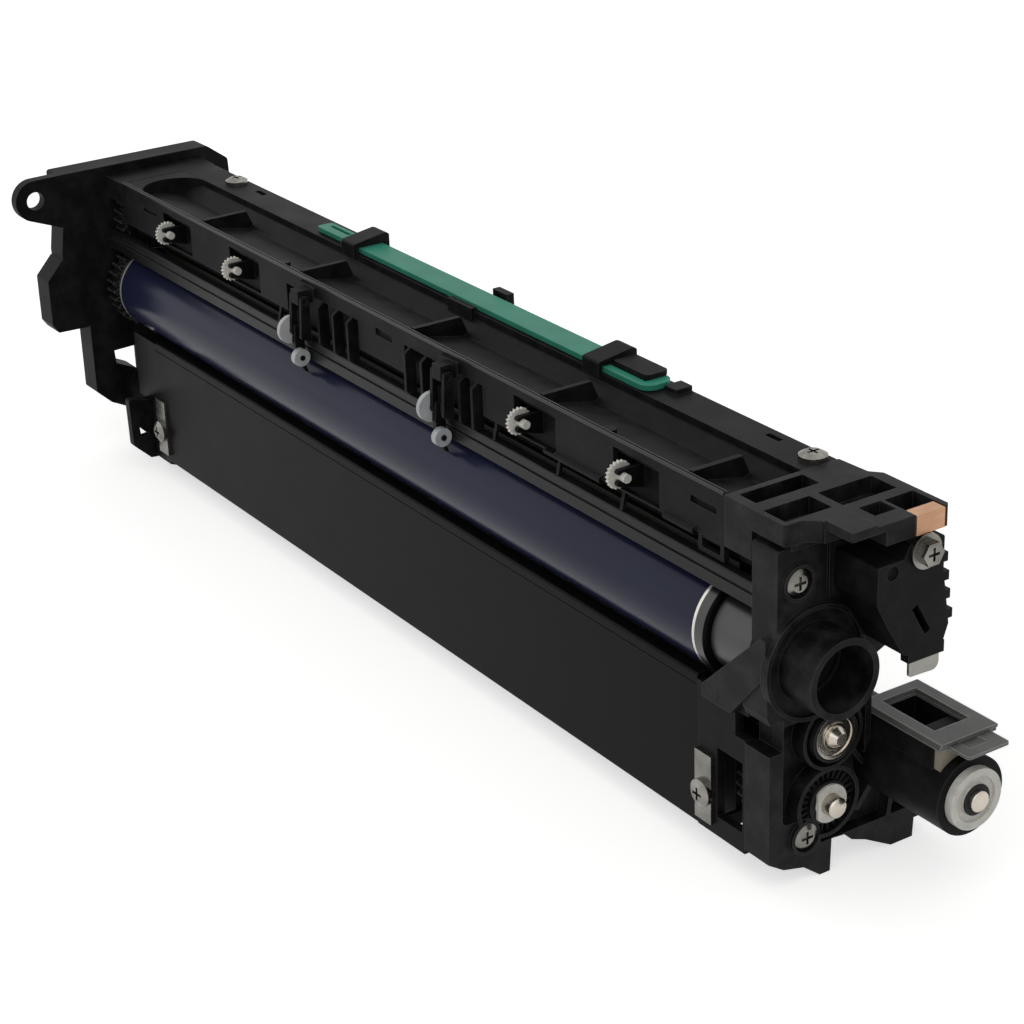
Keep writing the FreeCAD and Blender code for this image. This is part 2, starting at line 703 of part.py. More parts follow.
def drive_end_cap():
    """Closes the casing at the drive end and carries the pocketed block on top."""
    body = casing_length(casing_seam, cap_wall_x)
    wall = box(cap_wall_x - 2, plate_near_in, casing_front + 1.8, casing_back - 1, front_wall_low, 38)
    block = prism([(-24.6, 27.6), (-21.4, cap_back, 1), (cap_out, cap_back, 1),
                   (cap_out, shelf_front, 0.6),
                   (-8.0, shelf_front), (-11.4, shelf_front - 4.0), (-11.4, casing_front, 0.8),
                   (casing_seam, casing_front), (casing_seam, casing_back)], "z", cap_low, casing_top)
    foot = box(plate_near_in, plate_near_out + 2, -9.0, 24.0, post_top, cap_low)
    body = body.fuse([wall, block, foot])
    top = casing_top - pocket_depth
    cutters = [rod(casing_seam - 1, cap_wall_x - 2, waste_y, waste_z, waste_channel_radius)]
    cutters.append(rod(cap_wall_x - 3, cap_wall_x + 4.2, waste_y, waste_z,
                       waste_shaft_radius + shaft_fit))
    for x0, x1, y0, y1 in ((-21.9, -12.9, -9.5, 5.6), (-22.0, -12.0, 8.4, 26.4), (-8.5, -2.2, 10.4, 17.6),
                           (-33.5, -26.5, -8.0, 13.0)):
        cutters.append(box(x0, x1, y0, y1, top, casing_top + 1))
    cutters.append(box(-7.0, cap_out + 1, shelf_front - 1, 9.4, cap_low - 1, casing_top - shelf_thick))
    cutters.append(box(-8.3, cap_out + 1, 18.7, 28.5, cap_low + 0.2, casing_top + 1))
    cutters.append(box(casing_seam - 1, drum_near + 4.7, casing_front - 1, casing_front + 1, 35.2, 37.2))
    for x in tray_screw_x:
        cutters.append(post(x, tray_screw_y, cap_low, casing_top + 1, shank_radius))
    raised = box(-7.0, cap_out, shelf_front, 6.6, casing_top - 1, casing_top + 0.6)
    return body.cut(cutters).fuse(raised).removeSplitter()


def drive_end_cover():
    """Plate at the drive end with the drum's bore, the roller bearings and two feet."""
    plate = prism([(post_front, post_top, 1), (post_front, 5.8), (-15, -0.4), (-15, -12), (-14, -14.2),
                   (-14, -56.5), (-8.8, -59.9), (-1.9, -61.6), (3.8, foot_low), (7.3, foot_low),
                   (7.7, -56.1),
                   (12.3, -56.5), (14.8, -59), (19.8, -60.9), (29, foot_low), (36.7, foot_low),
                   (37.1, -60.2), (43, -60.2), (43, -37), (20.6, -37), (20.6, -5), (27.6, -2),
                   (27.6, post_top, 1)], "x", plate_near_in, plate_near_out)
    out = plate_near_out
    tube = rod(plate_near_in, 0, 0, 0, drive_bore_radius + drive_tube_wall)
    extras = [tube, ring(out - 1, out + 1.6, 0, 0, 16.4, 15.2)]
    extras.append(box(out - 1, out + 0.9, 4.4, 5.6, 17.5, 33))
    for y, z in cover_screws:
        extras.append(rod(out - 1, out + 1.2, y, z, 5.2))
    gusset = prism([(plate_near_out, 10.4, 1), (-15.2, 10.4, 1), (-39.4, -12.6, 1), (-39.4, -16.4),
                    (-27.3, -16.4),
                    (plate_near_out, 0.0)], "y", gusset_front, gusset_front + gusset_thick)
    extras.append(gusset)
    body = plate.fuse(extras)
    floor = out - well_depth
    well = prism([(-9.3, -16.5, 1), (-9.3, -46.5, 2), (-2, -46.5), (4, -56, 1), (40, -56, 2),
                  (40, -40, 2),
                  (18.6, -40, 1), (18.6, -16.5, 1)], "x", floor, out + 2)
    rims = [ring(floor - 1, out + 1.0, developer_y, developer_z, 10.1, 9.2)]
    rims.append(rod(floor - 1, bearing_face, developer_y, developer_z, bearing_outer_radius + 1.0))
    rims.append(ring(floor - 1, out + 1.0, front_y, front_z, 10.6, 9.4))
    rims.append(rod(floor - 1, out + 1.0, front_y, front_z, 6.2))
    rims.append(rod(floor - 1, out, *cover_screws[1], 5.2))
    rims.append(rod(floor - 1, out, 0, 0, drive_bore_radius + drive_tube_wall))
    rims += [prism(corners, "x", floor - 1, out) for corners in
             ([(15.5, -50), (17, -50.5), (24, -41.5), (22.5, -41)], [(14.4, -32.0), (15.4, -31.0),
                                                                     (18.8, -36), (18.8, -38)],
              [(27, -56.5), (28.4, -56.5), (30.6, -40), (29.2, -40)])]
    body = body.cut(well).fuse(rims)
    cutters = [rod(out, 1, 0, 0, drive_bore_radius), rod(plate_near_in - 1, out + 1, 0, 0,
                                                         journal_radius)]
    for y0, y1, z0, z1 in ((-9.5, -1.5, 15, 31.5), (1.5, 24.6, 15, 31.5), (13.5, 24.6, 0.8, 13)):
        cutters.append(box(plate_near_in - 1, out - plate_skin, y0, y1, z0, z1))
    cutters.append(box(plate_near_in - 1, out + 2, -17, -9.4, -24, -14.6))
    cutters.append(rod(plate_near_in - 1, out + 2, rear_y, rear_z, port_tube_outer + 0.15))
    cutters.append(rod(bearing_face - bearing_width, bearing_face + 1, developer_y, developer_z,
                       bearing_outer_radius))
    cutters.append(rod(plate_near_in - 1, bearing_face, developer_y, developer_z,
                       bearing_outer_radius - 1.4))
    cutters.append(rod(plate_near_in - 1, out + 2, front_y, front_z, bush_radius))
    cutters.append(rod(plate_near_in - 1, cap_wall_x + 4.2, waste_y, waste_z, waste_shaft_radius + 0.5))
    for y, z in cover_screws:
        cutters.append(rod(out - 1.0, out + 2, y, z, head_radius + 0.2))
        cutters.append(rod(out - 6, out + 2, y, z, shank_radius))
    return body.cut(cutters).removeSplitter()


def connector_cover():
    """Hollow cover beside the drive bore, over the electrical contacts."""
    corners = [(7.0, 30.5, 0.6), (7.0, 19.6, 0.6), (10.6, 12.7, 1), (16.2, 3.2, 1), (28.8, 1.0, 1),
               (31.4, 8.0, 1),
               (29.0, 24.0), (29.0, 34.0, 1), (17.4, 34.0, 1), (15.6, 30.5)]
    inner = [(9.0, 28.5), (9.0, 20.2), (12.4, 13.6), (17.5, 5.0), (27.6, 3.2), (29.3, 8.2), (27.0, 23.8),
             (27.0, 32.4), (19.0, 32.4), (17.4, 28.5)]
    body = prism(corners, "x", plate_near_out, cap_out)
    hollow = prism(inner, "x", plate_near_out + 1, cap_out - 2)
    body = without(body, hollow)
    ridges = [box(cap_out - 6, cap_out, y, y + 3.0, z, z + 2.6) for y,
              z in ((27.4, 26.0), (28.0, 20.6), (28.6, 15.2),
                                                                           (29.6, 9.4))]
    body = body.fuse([box(cap_out - 3.0, cap_out, 18.0, 30.2, 0.2, 3.6)] + ridges)
    cutters = [prism([(18.6, 15.6), (23.4, 7.0), (25.3, 8.0), (20.5, 16.6)], "x", cap_out - 3,
                     cap_out + 1)]
    cutters.append(rod(cap_out - 1, cap_out + 1, 11.8, 27.7, 2.0))
    cutters.append(rod(plate_near_out - 1, plate_near_out + 2.0, 0, 0, 16.7))
    cutters.append(rod(cap_out - 8, cap_out + 1, hex_screw_y, hex_screw_z, shank_radius))
    cutters.append(box(cap_out - 1.9, cap_out - 1.1, 19.2, 29.6, -2, 2.6))
    return body.cut(cutters).removeSplitter()


def hex_screw():
    washer = rod(cap_out, cap_out + 1.0, hex_screw_y, hex_screw_z, hex_washer_radius)
    points = [about(hex_screw_y, hex_screw_z, 3.5, 60 * k) for k in range(6)]
    head = prism(points, "x", cap_out + 1.0, cap_out + 3.6)
    shank = rod(cap_out - 6, cap_out, hex_screw_y, hex_screw_z, shank_radius)
    cross = box(cap_out + 2.4, cap_out + 4, hex_screw_y - 1.9, hex_screw_y + 1.9, hex_screw_z - 0.4,
                hex_screw_z + 0.4)
    across = box(cap_out + 2.4, cap_out + 4, hex_screw_y - 0.4, hex_screw_y + 0.4, hex_screw_z - 1.9,
                 hex_screw_z + 1.9)
    return without(joined(washer, head, shank), cross, across)


def charge_contact():
    """Copper block let into the cap's corner."""
    return prism([(18.9, cap_low + 0.2), (28.3, cap_low + 0.2), (28.3, casing_top - 0.1, 0.4),
                  (18.9, casing_top - 0.1, 0.4)], "x", -0.2, cap_out + 0.5)


def ground_tab():
    """Pale metal tab that hangs below the connector cover."""
    return prism([(19.3, 2.5), (19.3, -4.6, 0.8), (29.5, -5.0, 2.2), (29.5, 2.5)], "x", cap_out - 1.9,
                 cap_out - 1.1)


def screw(point, direction):
    """Screw with a domed cross head; the head's seat is at the point."""
    head = Part.makeCylinder(head_radius, head_height * 0.6, point, direction)
    dome = Part.makeCone(head_radius, head_radius * 0.6, head_height * 0.4,
                         point + direction * (head_height * 0.6),
                         direction)
    shank = Part.makeCylinder(shank_radius, 5.0, point - direction * 5.0, direction)
    body = joined(head, dome, shank)
    slot = Part.makeBox(3.8, 0.8, 1.4, V(-1.9, -0.4, 0))
    cross = slot.fuse(Part.makeBox(0.8, 3.8, 1.4, V(-0.4, -1.9, 0)))
    cross.Placement = FreeCAD.Placement(point + direction * (head_height - 1.0),
                                        FreeCAD.Rotation(V(0, 0, 1), direction))
    return without(body, cross)


def case_screws():
    """The visible screws: two on top, two in the drive end cover and two on the front strips."""
    seat = plate_near_out - 1.0
    screws = [screw(V(x, tray_screw_y, casing_top), V(0, 0, 1)) for x in tray_screw_x]
    screws += [screw(V(seat, y, z), V(1, 0, 0)) for y, z in cover_screws]
    screws += [screw(V(x, case_lip - strip_thick, strip_screw_z), V(0, -1, 0)) for x in strip_screw_x]
    return Part.makeCompound(screws)


def strip_screw_holes():
    """Holes through the front for the screws of the two edge strips."""
    return [Part.makeCylinder(shank_radius, 8.0, V(x, case_lip - strip_thick, strip_screw_z), V(0, 1, 0))
            for x in strip_screw_x]


def developer_case():
    """Trough of the developer section: two chambers side by side and a bed for the roller."""
    profile = [(case_front, case_lip, 0.8), (case_front, case_low, 1.5), (14, case_low, 2),
               (24, -50.5, 2),
               (41.3, -50.5, 3), (41.3, chamber_open), (21, chamber_open), (21, doctor_seat),
               (14, doctor_seat), (-1.5, -17.4)]
    body = prism(profile, "x", case_far, case_near)
    inner_far = case_far + 3
    inner_near = case_near - 3
    cutters = [rod(inner_far, inner_near, front_y, front_z, chamber_radius)]
    cutters.append(rod(inner_far, case_near + 1, rear_y, rear_z, chamber_radius))
    cutters.append(rod(inner_far, inner_near, developer_y, developer_z, developer_radius + 0.8))
    cutters.append(box(inner_far, inner_near, 22.6, 39.0, rear_z, chamber_open + 1))
    cutters.append(box(inner_far, inner_near, -0.5, 11, -37, -31))
    for x0, x1 in ((inner_far, inner_far + 24), (inner_near - 24, inner_near)):
        cutters.append(box(x0, x1, front_y + 6, rear_y - 6, -45, -37.5))
    cutters.append(box(case_far - 1, case_near + 1, case_front + 2, -5.6, case_low - 1, -20))
    cutters.append(rod(case_far - 1, case_near + 1, developer_y, developer_z,
                       mixing_shaft_radius + shaft_fit))
    cutters.append(rod(case_far - 1, case_near + 1, front_y, front_z, mixing_shaft_radius + shaft_fit))
    cutters.append(rod(case_far - 1, inner_far + 1, rear_y, rear_z, mixing_shaft_radius + shaft_fit))
    cutters += strip_screw_holes()
    return body.cut(cutters).removeSplitter()


def developer_lid():
    lid = box(case_far, case_near, 21, 41.3, chamber_open, chamber_open + lid_thick)
    lip = box(case_far + 3.4, case_near - 3.4, 23.0, 38.6, chamber_open - 1.2, chamber_open)
    grooves = [box(case_far + 8, case_near - 8, y, y + 1.2, chamber_open + 1.4,
                   chamber_open + 3) for y in (27, 34)]
    return without(joined(lid, lip), *grooves)


def doctor_blade():
    """Steel edge that levels the toner on the roller."""
    blade = box(case_far + 3.4, case_near - 3.4, 16.1, 20.9, doctor_seat, doctor_seat + doctor_thick)
    holes = [post(x, 19.0, -22, -19, 1.2) for x in (case_far + 30, (case_far + case_near) / 2,
                                                    case_near - 30)]
    return without(blade, *holes)


def front_panel():
    """Smooth panel over the front of the developer section."""
    profile = [(case_lip, panel_top, 0.8), (case_lip, -58, 0.6), (case_front, -58),
               (case_front, case_lip + 0.6),
               (-9.6, case_lip + 0.6), (-9.6, panel_top)]
    body = prism(profile, "x", case_far, drum_near)
    wing = box(case_far - panel_reach, case_far, case_lip, case_front, panel_step, panel_top - 0.8)
    groove = box(case_far - 1, drum_near + 1, case_lip - 1, case_lip + 0.4, -15.4, -15.0)
    return without(joined(body, wing), groove, *strip_screw_holes())


def near_side_plate():
    """Cover of the drive gears at the front, with the window through which they show."""
    x0 = drum_near + 0.1
    x1 = plate_near_in
    front = box(x0, x1, case_lip, case_front, -58, -13.6)
    inner = box(case_near, x1, case_lip, case_front + 0.8, -58, -13.6)
    body = front.fuse(inner)
    slab = box(case_near, x1, case_lip, 0, -16.2, -13.6)
    side = box(case_near, case_near + 1.4, case_lip, 12, -58, -54)
    body = body.fuse([slab, side])
    cutters = [box(gear_near_in + 0.1, x1 - 1.0, case_lip - 1, -11, -52, -30.6)]
    cutters.append(rod(x0 - 1, x1 + 1, 0, 0, hub_radius + 2.6))
    cutters.append(box(-27.3, x1 + 1, case_lip - 1, case_front + 2, -23.5, -16.6))
    cutters.append(box(-39.8, x1 + 1, case_lip - 1, gusset_front + gusset_thick + 0.3, -16.8, -13.0))
    cutters += strip_screw_holes()
    return body.cut(cutters).removeSplitter()


def far_side_plate():
    """Plate beyond the developer section: it carries the case and houses the far gears."""
    x0 = case_far - 14.5
    x1 = case_far - 1.5
    plate = prism([(case_front, -14), (case_front, -61), (-7.7, -62.7), (-5, foot_low), (1, foot_low),
                   (3, -60),
                   (26, -60), (30, foot_low), (37, foot_low), (43, -54), (43, -24), (18, -18)], "x",
                   x0, x1)
    lug = prism([(case_front, -38.0), (-22, -36.0, 1), (-21.6, -54.4, 2), (-15, -60.8, 1),
                 (case_front, -61)], "x",
                x0, x0 + plate_skin)
    plate = plate.fuse(lug)
    spots = ((front_y, front_z), (rear_y, rear_z))
    shells = [rod(plate_far_in, x0, y, z, 15.6) for y, z in spots]
    rooms = [rod(plate_far_in - 1, x0 - 2, y, z, 14.0) for y, z in spots]
    body = plate.fuse(shells)
    cutters = rooms + [rod(x0 - 3, x1 + 1, y, z, mixing_shaft_radius + shaft_fit) for y, z in spots]
    cutters.append(rod(x0 - 3, x1 + 1, developer_y, developer_z, 3.0))
    cutters.append(prism([(-18.6, -47.7), (-14.9, -51.5), (-18.2, -51.8)], "x", x0 - 1, x1 + 1))
    for y0, y1, z0, z1 in ((-9.5, -4, -36, -20), (10, 40, -58, -56)):
        cutters.append(box(x0 - 1, x1 - plate_skin, y0, y1, z0, z1))
    end = box(case_far - 1.5, case_far, -11.5, 14, -57, -50)
    return body.cut(cutters).fuse(end).removeSplitter()


def edge_strip(x0, x1):
    """Metal strip on the front panel's edge."""
    body = box(x0, x1, case_lip - strip_thick, case_lip, -55, -34)
    return without(body, *strip_screw_holes())


def edge_strips():
    """The two metal strips at the ends of the front panel."""
    return Part.makeCompound([edge_strip(drum_near + 0.2, drum_near + 7.3),
                              edge_strip(case_far - 2.9, case_far + 4.2)])


def toner_port():
    """Tube around the rear auger's end, with the toner inlet on top."""
    tube = rod(case_near, port_out, rear_y, rear_z, port_tube_outer)
    top = box(-16.5, port_block_out, 21.5, 39.5, rear_z + 4, port_top)
    body = tube.fuse(top)
    hollow = rod(case_near - 1, port_out - 3, rear_y, rear_z, chamber_radius)
    inlet = box(window_x0, window_x0 + 14, window_y0, window_y1, rear_z + 3, port_top + 1)
    seat = rod(port_out - 4, port_out + 1, rear_y, rear_z, rear_spigot_radius)
    return body.cut([hollow, inlet, seat]).removeSplitter()


def port_seal():
    """Frosted frame on the inlet, with the channel in which the shutter slides."""
    roof = box(frame_x0, frame_x1, frame_y0, frame_y1, port_roof, port_roof + frame_thick)
    sides = [box(frame_x0 + 0.5, frame_x1 - 0.5, y0, y1, port_top, port_roof + 0.1)
             for y0, y1 in ((frame_y0, shutter_y0 - 0.3), (shutter_y1 + 0.3, frame_y1))]
    body = joined(roof, *sides)
    return without(body, box(window_x0, window_x1, window_y0, window_y1, port_top - 1, port_roof + 2))


def shutter():
    """Thin slide that closes the inlet when it moves inward."""
    level = port_top + shutter_gap
    plate = prism([(frame_x0 + 1, shutter_y0), (shutter_x1, shutter_y0, 1), (shutter_x1, shutter_y1, 1),
                   (frame_x0 + 1, shutter_y1)], "z", level, level + shutter_thick)
    window = box(window_x0 + 0.4, window_x1 - 0.4, window_y0 + 0.4, window_y1 - 0.4, level - 1, level + 2)
    catch = box(13.4, 17.8, 27.0, 33.2, level + 0.4, level + 2)
    return without(plate, window, catch)


def inlet_pad():
    """Pale sealing pad on the end of the inlet, over the tube."""
    pad = box(port_block_out, port_block_out + 2.4, 21.8, 37.0, -29.0, port_top - 0.2)
    return without(pad, rod(case_near, port_out + 1, rear_y, rear_z, port_tube_outer))


def auger_bush_rear():
    flange = rod(port_out, port_out + flange_thick, rear_y, rear_z, flange_radius)
    spigot = rod(port_out - 2.8, port_out, rear_y, rear_z, rear_spigot_radius)
    body = joined(flange, spigot)
    recess = ring(port_out + flange_thick - 0.8, port_out + flange_thick + 1, rear_y, rear_z, 6.6, 4.6)
    return without(body, recess, rod(port_out - 4, port_out + 4, rear_y, rear_z,
                                     mixing_shaft_radius + shaft_fit))


def auger_bush_front():
    flange = rod(plate_near_out + 1.0, plate_near_out + 1.8, front_y, front_z, 5.6)
    spigot = rod(plate_near_in + 1, plate_near_out + 1.0, front_y, front_z, bush_radius)
    body = joined(flange, spigot)
    flat = box(plate_near_out + 1.0, plate_near_out + 3, front_y - 7, front_y - 4.2, front_z - 7,
               front_z + 7)
    return without(body, flat, rod(plate_near_in, plate_near_out + 3, front_y, front_z,
                                   mixing_shaft_radius + shaft_fit))


def bearing_outer_ring():
    inner = bearing_outer_radius - race_wall
    body = ring(bearing_face - bearing_width, bearing_face, developer_y, developer_z,
                bearing_outer_radius, inner)
    shields = [ring(x, x + 0.3, developer_y, developer_z, inner, mixing_shaft_radius + race_wall + 0.1)
               for x in (bearing_face - bearing_width + 0.3, bearing_face - 0.6)]
    return joined(body, *shields)


def bearing_inner_ring():
    return ring(bearing_face - bearing_width, bearing_face, developer_y, developer_z,
                mixing_shaft_radius + race_wall, mixing_shaft_radius)


def blade_bracket():
    """Bent steel strip screwed to the channel block; the blade hangs on its short leg."""
    run = (casing_far + 8, casing_seam - 5)
    profile = [(bracket_y, bracket_top), (bracket_y, blade_top(bracket_y) + bracket_thick * 0.9),
               (5.6, blade_top(5.6) + 0.9), (5.6, blade_top(5.6)),
               (bracket_y + bracket_thick, blade_top(bracket_y + bracket_thick)),
               (bracket_y + bracket_thick, bracket_top)]
    return prism(profile, "x", *run)


def blade_top(y):
    """Height of the cleaning blade's upper side."""
    return blade_edge_z + blade_thick + (y - blade_edge_y) * blade_slope


def cleaning_blade():
    """Polyurethane strip whose edge scrapes the drum."""
    far_y = bracket_y + bracket_thick - 0.4
    profile = [(blade_edge_y, blade_edge_z), (far_y, blade_top(far_y) - blade_thick),
               (far_y, blade_top(far_y)),
               (blade_edge_y, blade_top(blade_edge_y))]
    return prism(profile, "x", casing_far + 10, casing_seam - 7)


def charge_holder(x0):
    """Plastic block that carries the ends of the charge roller and the brush roller."""
    wall = casing_back - casing_wall
    profile = [(13.5, 9.6, 1), (wall, 9.6), (wall, 27.2), (17.2, 27.2, 1), (13.5, 18.5)]
    body = prism(profile, "x", x0, x0 + holder_thick)
    return without(body, rod(x0 - 1, x0 + holder_thick + 1, charge_y, charge_z,
                             charge_shaft_radius + shaft_fit),
                   rod(x0 - 1, x0 + holder_thick + 1, cleaner_y, cleaner_z,
                       cleaner_shaft_radius + shaft_fit))


def charge_holder_near():
    return charge_holder(drum_near - charge_end + 1.0)


def charge_holder_far():
    return charge_holder(drum_far + charge_end - 1.0 - holder_thick)


def charge_roller_shaft():
    return rod(drum_far + 0.6, drum_near - 0.6, charge_y, charge_z, charge_shaft_radius)


def charge_roller_sleeve():
    return ring(drum_far + charge_end, drum_near - charge_end, charge_y, charge_z, charge_radius,
                charge_shaft_radius)


def cleaner_roller():
    """Small roller that keeps the charge roller clean."""
    shaft = rod(drum_far + 0.6, drum_near - 0.6, cleaner_y, cleaner_z, cleaner_shaft_radius)
    return joined(shaft, rod(drum_far + charge_end, drum_near - charge_end, cleaner_y, cleaner_z,
                             cleaner_radius))


def developer_sleeve():
    """Aluminium sleeve with both end discs."""
    x0 = case_far + 4
    x1 = case_near - 4
    body = rod(x0, x1, developer_y, developer_z, developer_radius)
    inner = rod(x0 + 4, x1 - 4, developer_y, developer_z, developer_radius - developer_wall)
    far = rod(x0 - 1, x0 + 5, developer_y, developer_z, mixing_shaft_radius + shaft_fit)
    near = rod(x1 - 5, x1 + 1, developer_y, developer_z, mixing_shaft_radius)
    return without(body, inner, far, near)


def developer_shaft():
    x0 = case_near - 12
    body = rod(x0, bearing_face + 0.4, developer_y, developer_z, mixing_shaft_radius)
    tip = Part.makeCone(mixing_shaft_radius, mixing_shaft_radius - 1.2, 2.0,
                        V(bearing_face + 0.4, developer_y, developer_z), V(1, 0, 0))
    return without(joined(body, tip), rod(x0 - 1, x0 + 6, developer_y, developer_z, 1.5 + shaft_fit))


def magnet_roller():
    """Fixed magnet inside the sleeve, held by its shaft at the far end."""
    x0 = case_far + 4
    x1 = case_near - 4
    core = rod(x0 + 5, x1 - 10, developer_y, developer_z, developer_radius - developer_wall - magnet_gap)
    shaft = rod(case_far - 14.5, x0 + 5, developer_y, developer_z, mixing_shaft_radius)
    pilot = rod(x1 - 10, x1 - 4, developer_y, developer_z, 1.5)
    return joined(core, shaft, pilot)


def developer_gear():
    return gear(developer_gear_teeth, gear_near_in, gear_near_in + gear_width_near, developer_y,
                developer_z,
                0.0, mixing_shaft_radius, near_twist)


def front_gear_near():
    turn = meshed_turn(0.0, developer_gear_teeth, front_gear_teeth, math.radians(front_auger_angle))
    twist = -near_twist * developer_gear_teeth / front_gear_teeth
    return gear(front_gear_teeth, gear_near_in, gear_near_in + gear_width_near, front_y, front_z, turn,
                mixing_shaft_radius, twist)


def front_gear_far():
    start = plate_far_in + gear_side_gap
    return gear(transfer_gear_teeth, start, start + gear_width_far, front_y, front_z, 0.0,
                mixing_shaft_radius)


def rear_gear():
    start = plate_far_in + gear_side_gap
    turn = meshed_turn(0.0, transfer_gear_teeth, transfer_gear_teeth, math.radians(rear_auger_angle))
    return gear(transfer_gear_teeth, start, start + gear_width_far, rear_y, rear_z, turn,
                mixing_shaft_radius)


def mixing_auger_front():
    x0 = case_far + 3.5
    x1 = case_near - 3.5
    flights = auger(x0, x1, x0 + 2, x1 - 2, front_y, front_z, mixing_shaft_radius - 0.1, mixing_radius,
                    mixing_pitch)
    near = rod(x1, plate_near_out + 4.6, front_y, front_z, mixing_shaft_radius)
    far = rod(plate_far_in - 5, x0, front_y, front_z, mixing_shaft_radius)
    return flights.fuse([near, far])


def mixing_auger_rear():
    x0 = case_far + 3.5
    x1 = port_out - 4
    flights = auger(x0, x1, x0 + 2, x1 - 2, rear_y, rear_z, mixing_shaft_radius - 0.1, mixing_radius,
                    mixing_pitch)
    near = rod(x1, port_out + flange_thick + 1.4, rear_y, rear_z, mixing_shaft_radius)
    far = rod(plate_far_in - 5, x0, rear_y, rear_z, mixing_shaft_radius)
    return flights.fuse([near, far])


def star_wheel(x):
    """Thin toothed wheel moulded in one piece with its stub axles."""
    points = []
    for k in range(star_teeth):
        points.append(about(star_y, star_z, star_radius, 360 * k / star_teeth))
        points.append(about(star_y, star_z, star_radius - star_tooth, 360 * (k + 0.5) / star_teeth))
    body = prism(points, "x", x - star_thick / 2, x + star_thick / 2)
    return joined(body, rod(x - star_axle_in, x + star_axle_out, star_y, star_z, star_axle_radius))


def pawl_holder(x):
    """Lug on the front wall with the pawl's pivot pin in one piece."""
    middle = x + pawl_width / 2 - 0.6
    half = pawl_lug / 2
    plate = box(x - 1.5, x + pawl_width + 0.6, casing_front - 1.2, casing_front,
                pawl_window_high + 0.2, casing_top - 1.2)
    lug = box(middle - half, middle + half, pawl_pivot_y - 1.6, casing_front, pawl_pivot_z - 1.2,
              pawl_pivot_z + 3.4)
    pin = rod(middle - half - pawl_cheek, middle + half + pawl_cheek, pawl_pivot_y, pawl_pivot_z,
              pawl_pin_radius)
    return joined(plate, lug, pin)


def pickoff_pawl(x):
    """Lever of two cheeks and a web that hangs in front of the casing; its claw points at the drum."""
    x0 = x - 0.6
    x1 = x0 + pawl_width
    cheek = [(pawl_front + 0.8, pawl_top, 0.8), (pawl_back, pawl_top, 0.8), (pawl_back, pawl_low + 1),
             (pawl_back - 0.8, pawl_low, 0.6), (pawl_front, pawl_low + 1.6, 1)]
    cheeks = [prism(cheek, "x", start, start + pawl_cheek) for start in (x0, x1 - pawl_cheek)]
    web = box(x0, x1, pawl_back - 1.2, pawl_back, pawl_low + 1.0, pawl_pivot_z - 4.4)
    claw = prism([(-15.9, 27), (-13.4, 27), (-12.7, 20.6), (-12.7, 12.2), (-11.9, 9.9),
                  (-13.2, 10.6, 0.6),
                  (-15.4, 14.6, 1), (-16.4, 21)], "x", x0, x0 + 1.8)
    pins = [rod(x - 2.9, x0, pawl_cam_y, pawl_cam_z, 1.0), rod(x0 + 1.8, x + 4.4, pawl_roller_y,
                                                               pawl_roller_z, 0.9)]
    body = joined(*cheeks, web, claw, *pins)
    return without(body, rod(x - 4, x + 12, pawl_pivot_y, pawl_pivot_z, pawl_pin_radius + shaft_fit))


def pawl_wheels(x):
    """Pale guide disc beside the lever and the small roller under it."""
    wheel = without(rod(x - 2.6, x - 0.9, pawl_cam_y, pawl_cam_z, pawl_cam_radius),
                    rod(x - 4, x, pawl_cam_y, pawl_cam_z, 1.0))
    roller = without(rod(x + 1.6, x + 1.6 + pawl_roller_thick, pawl_roller_y, pawl_roller_z,
                         pawl_roller_radius),
                     rod(x, x + 5, pawl_roller_y, pawl_roller_z, 0.9))
    return Part.makeCompound([wheel, roller])


def strap_slot():
    """Inner outline of the strap's open end: x0, x1, y0, y1."""
    return (strap_x1 - strap_end_length + 2.6, strap_x1 - strap_end_wall - 1.4,
            strap_y - strap_end_width / 2 + strap_end_wall, strap_y + strap_end_width / 2 - 1.6)


def lift_strap():
    """Flat carrying strap; its narrow end and its open end are held on the casing."""
    y0 = strap_y - strap_width / 2
    y1 = strap_y + strap_width / 2
    neck_end = strap_x0 + strap_neck_length
    top = strap_floor + strap_thick
    band = box(neck_end, strap_x1 - strap_end_length + 1, y0, y1, strap_floor, top)
    half = strap_end_width / 2
    end = prism([(strap_x1 - strap_end_length, strap_y - half, 2), (strap_x1, strap_y - half, 4),
                 (strap_x1, strap_y + half, 4), (strap_x1 - strap_end_length, strap_y + half, 2)],
                "z", strap_floor, top)
    neck = prism([(strap_x0, y0 + 1.0, 1.5), (neck_end + 1, y0 + 1.0),
                  (neck_end + 1, y0 + 1.0 + strap_neck_width),
                  (strap_x0, y0 + 1.0 + strap_neck_width, 1.5)], "z", strap_floor, top)
    x0, x1, slot_y0, slot_y1 = strap_slot()
    slot = box(x0, x1, slot_y0, slot_y1, strap_floor - 1, top + 1)
    small = box(strap_x0 + 3.5, neck_end - 2, y0 + 4.2, y0 + 5.6, strap_floor - 1, top + 1)
    return without(joined(band, end, neck), slot, small)


def hook_stem():
    """Stem through the strap's open end; the strap can slide by strap_play along it."""
    x0, x1, y0, y1 = strap_slot()
    return box(x0 + strap_seat_gap, x1 - strap_seat_gap - strap_play, y0 + strap_seat_gap,
               y1 - strap_seat_gap,
               casing_top - 3, strap_floor + strap_thick + strap_seat_gap)


def strap_hook():
    """Headed block that keeps the strap's open end on the casing."""
    x0, x1, y0, y1 = strap_slot()
    low = strap_floor + strap_thick + strap_seat_gap
    start = x0 + 2.4
    head = prism([(start, y0 + 0.2, 0.6), (x1 + 0.4, y0 + 0.2, 1.5), (x1 + 0.4, y1 + 2.2, 1.5),
                  (start, y1 + 2.2, 0.6)], "z", low, low + hook_head)
    return joined(hook_stem(), head)


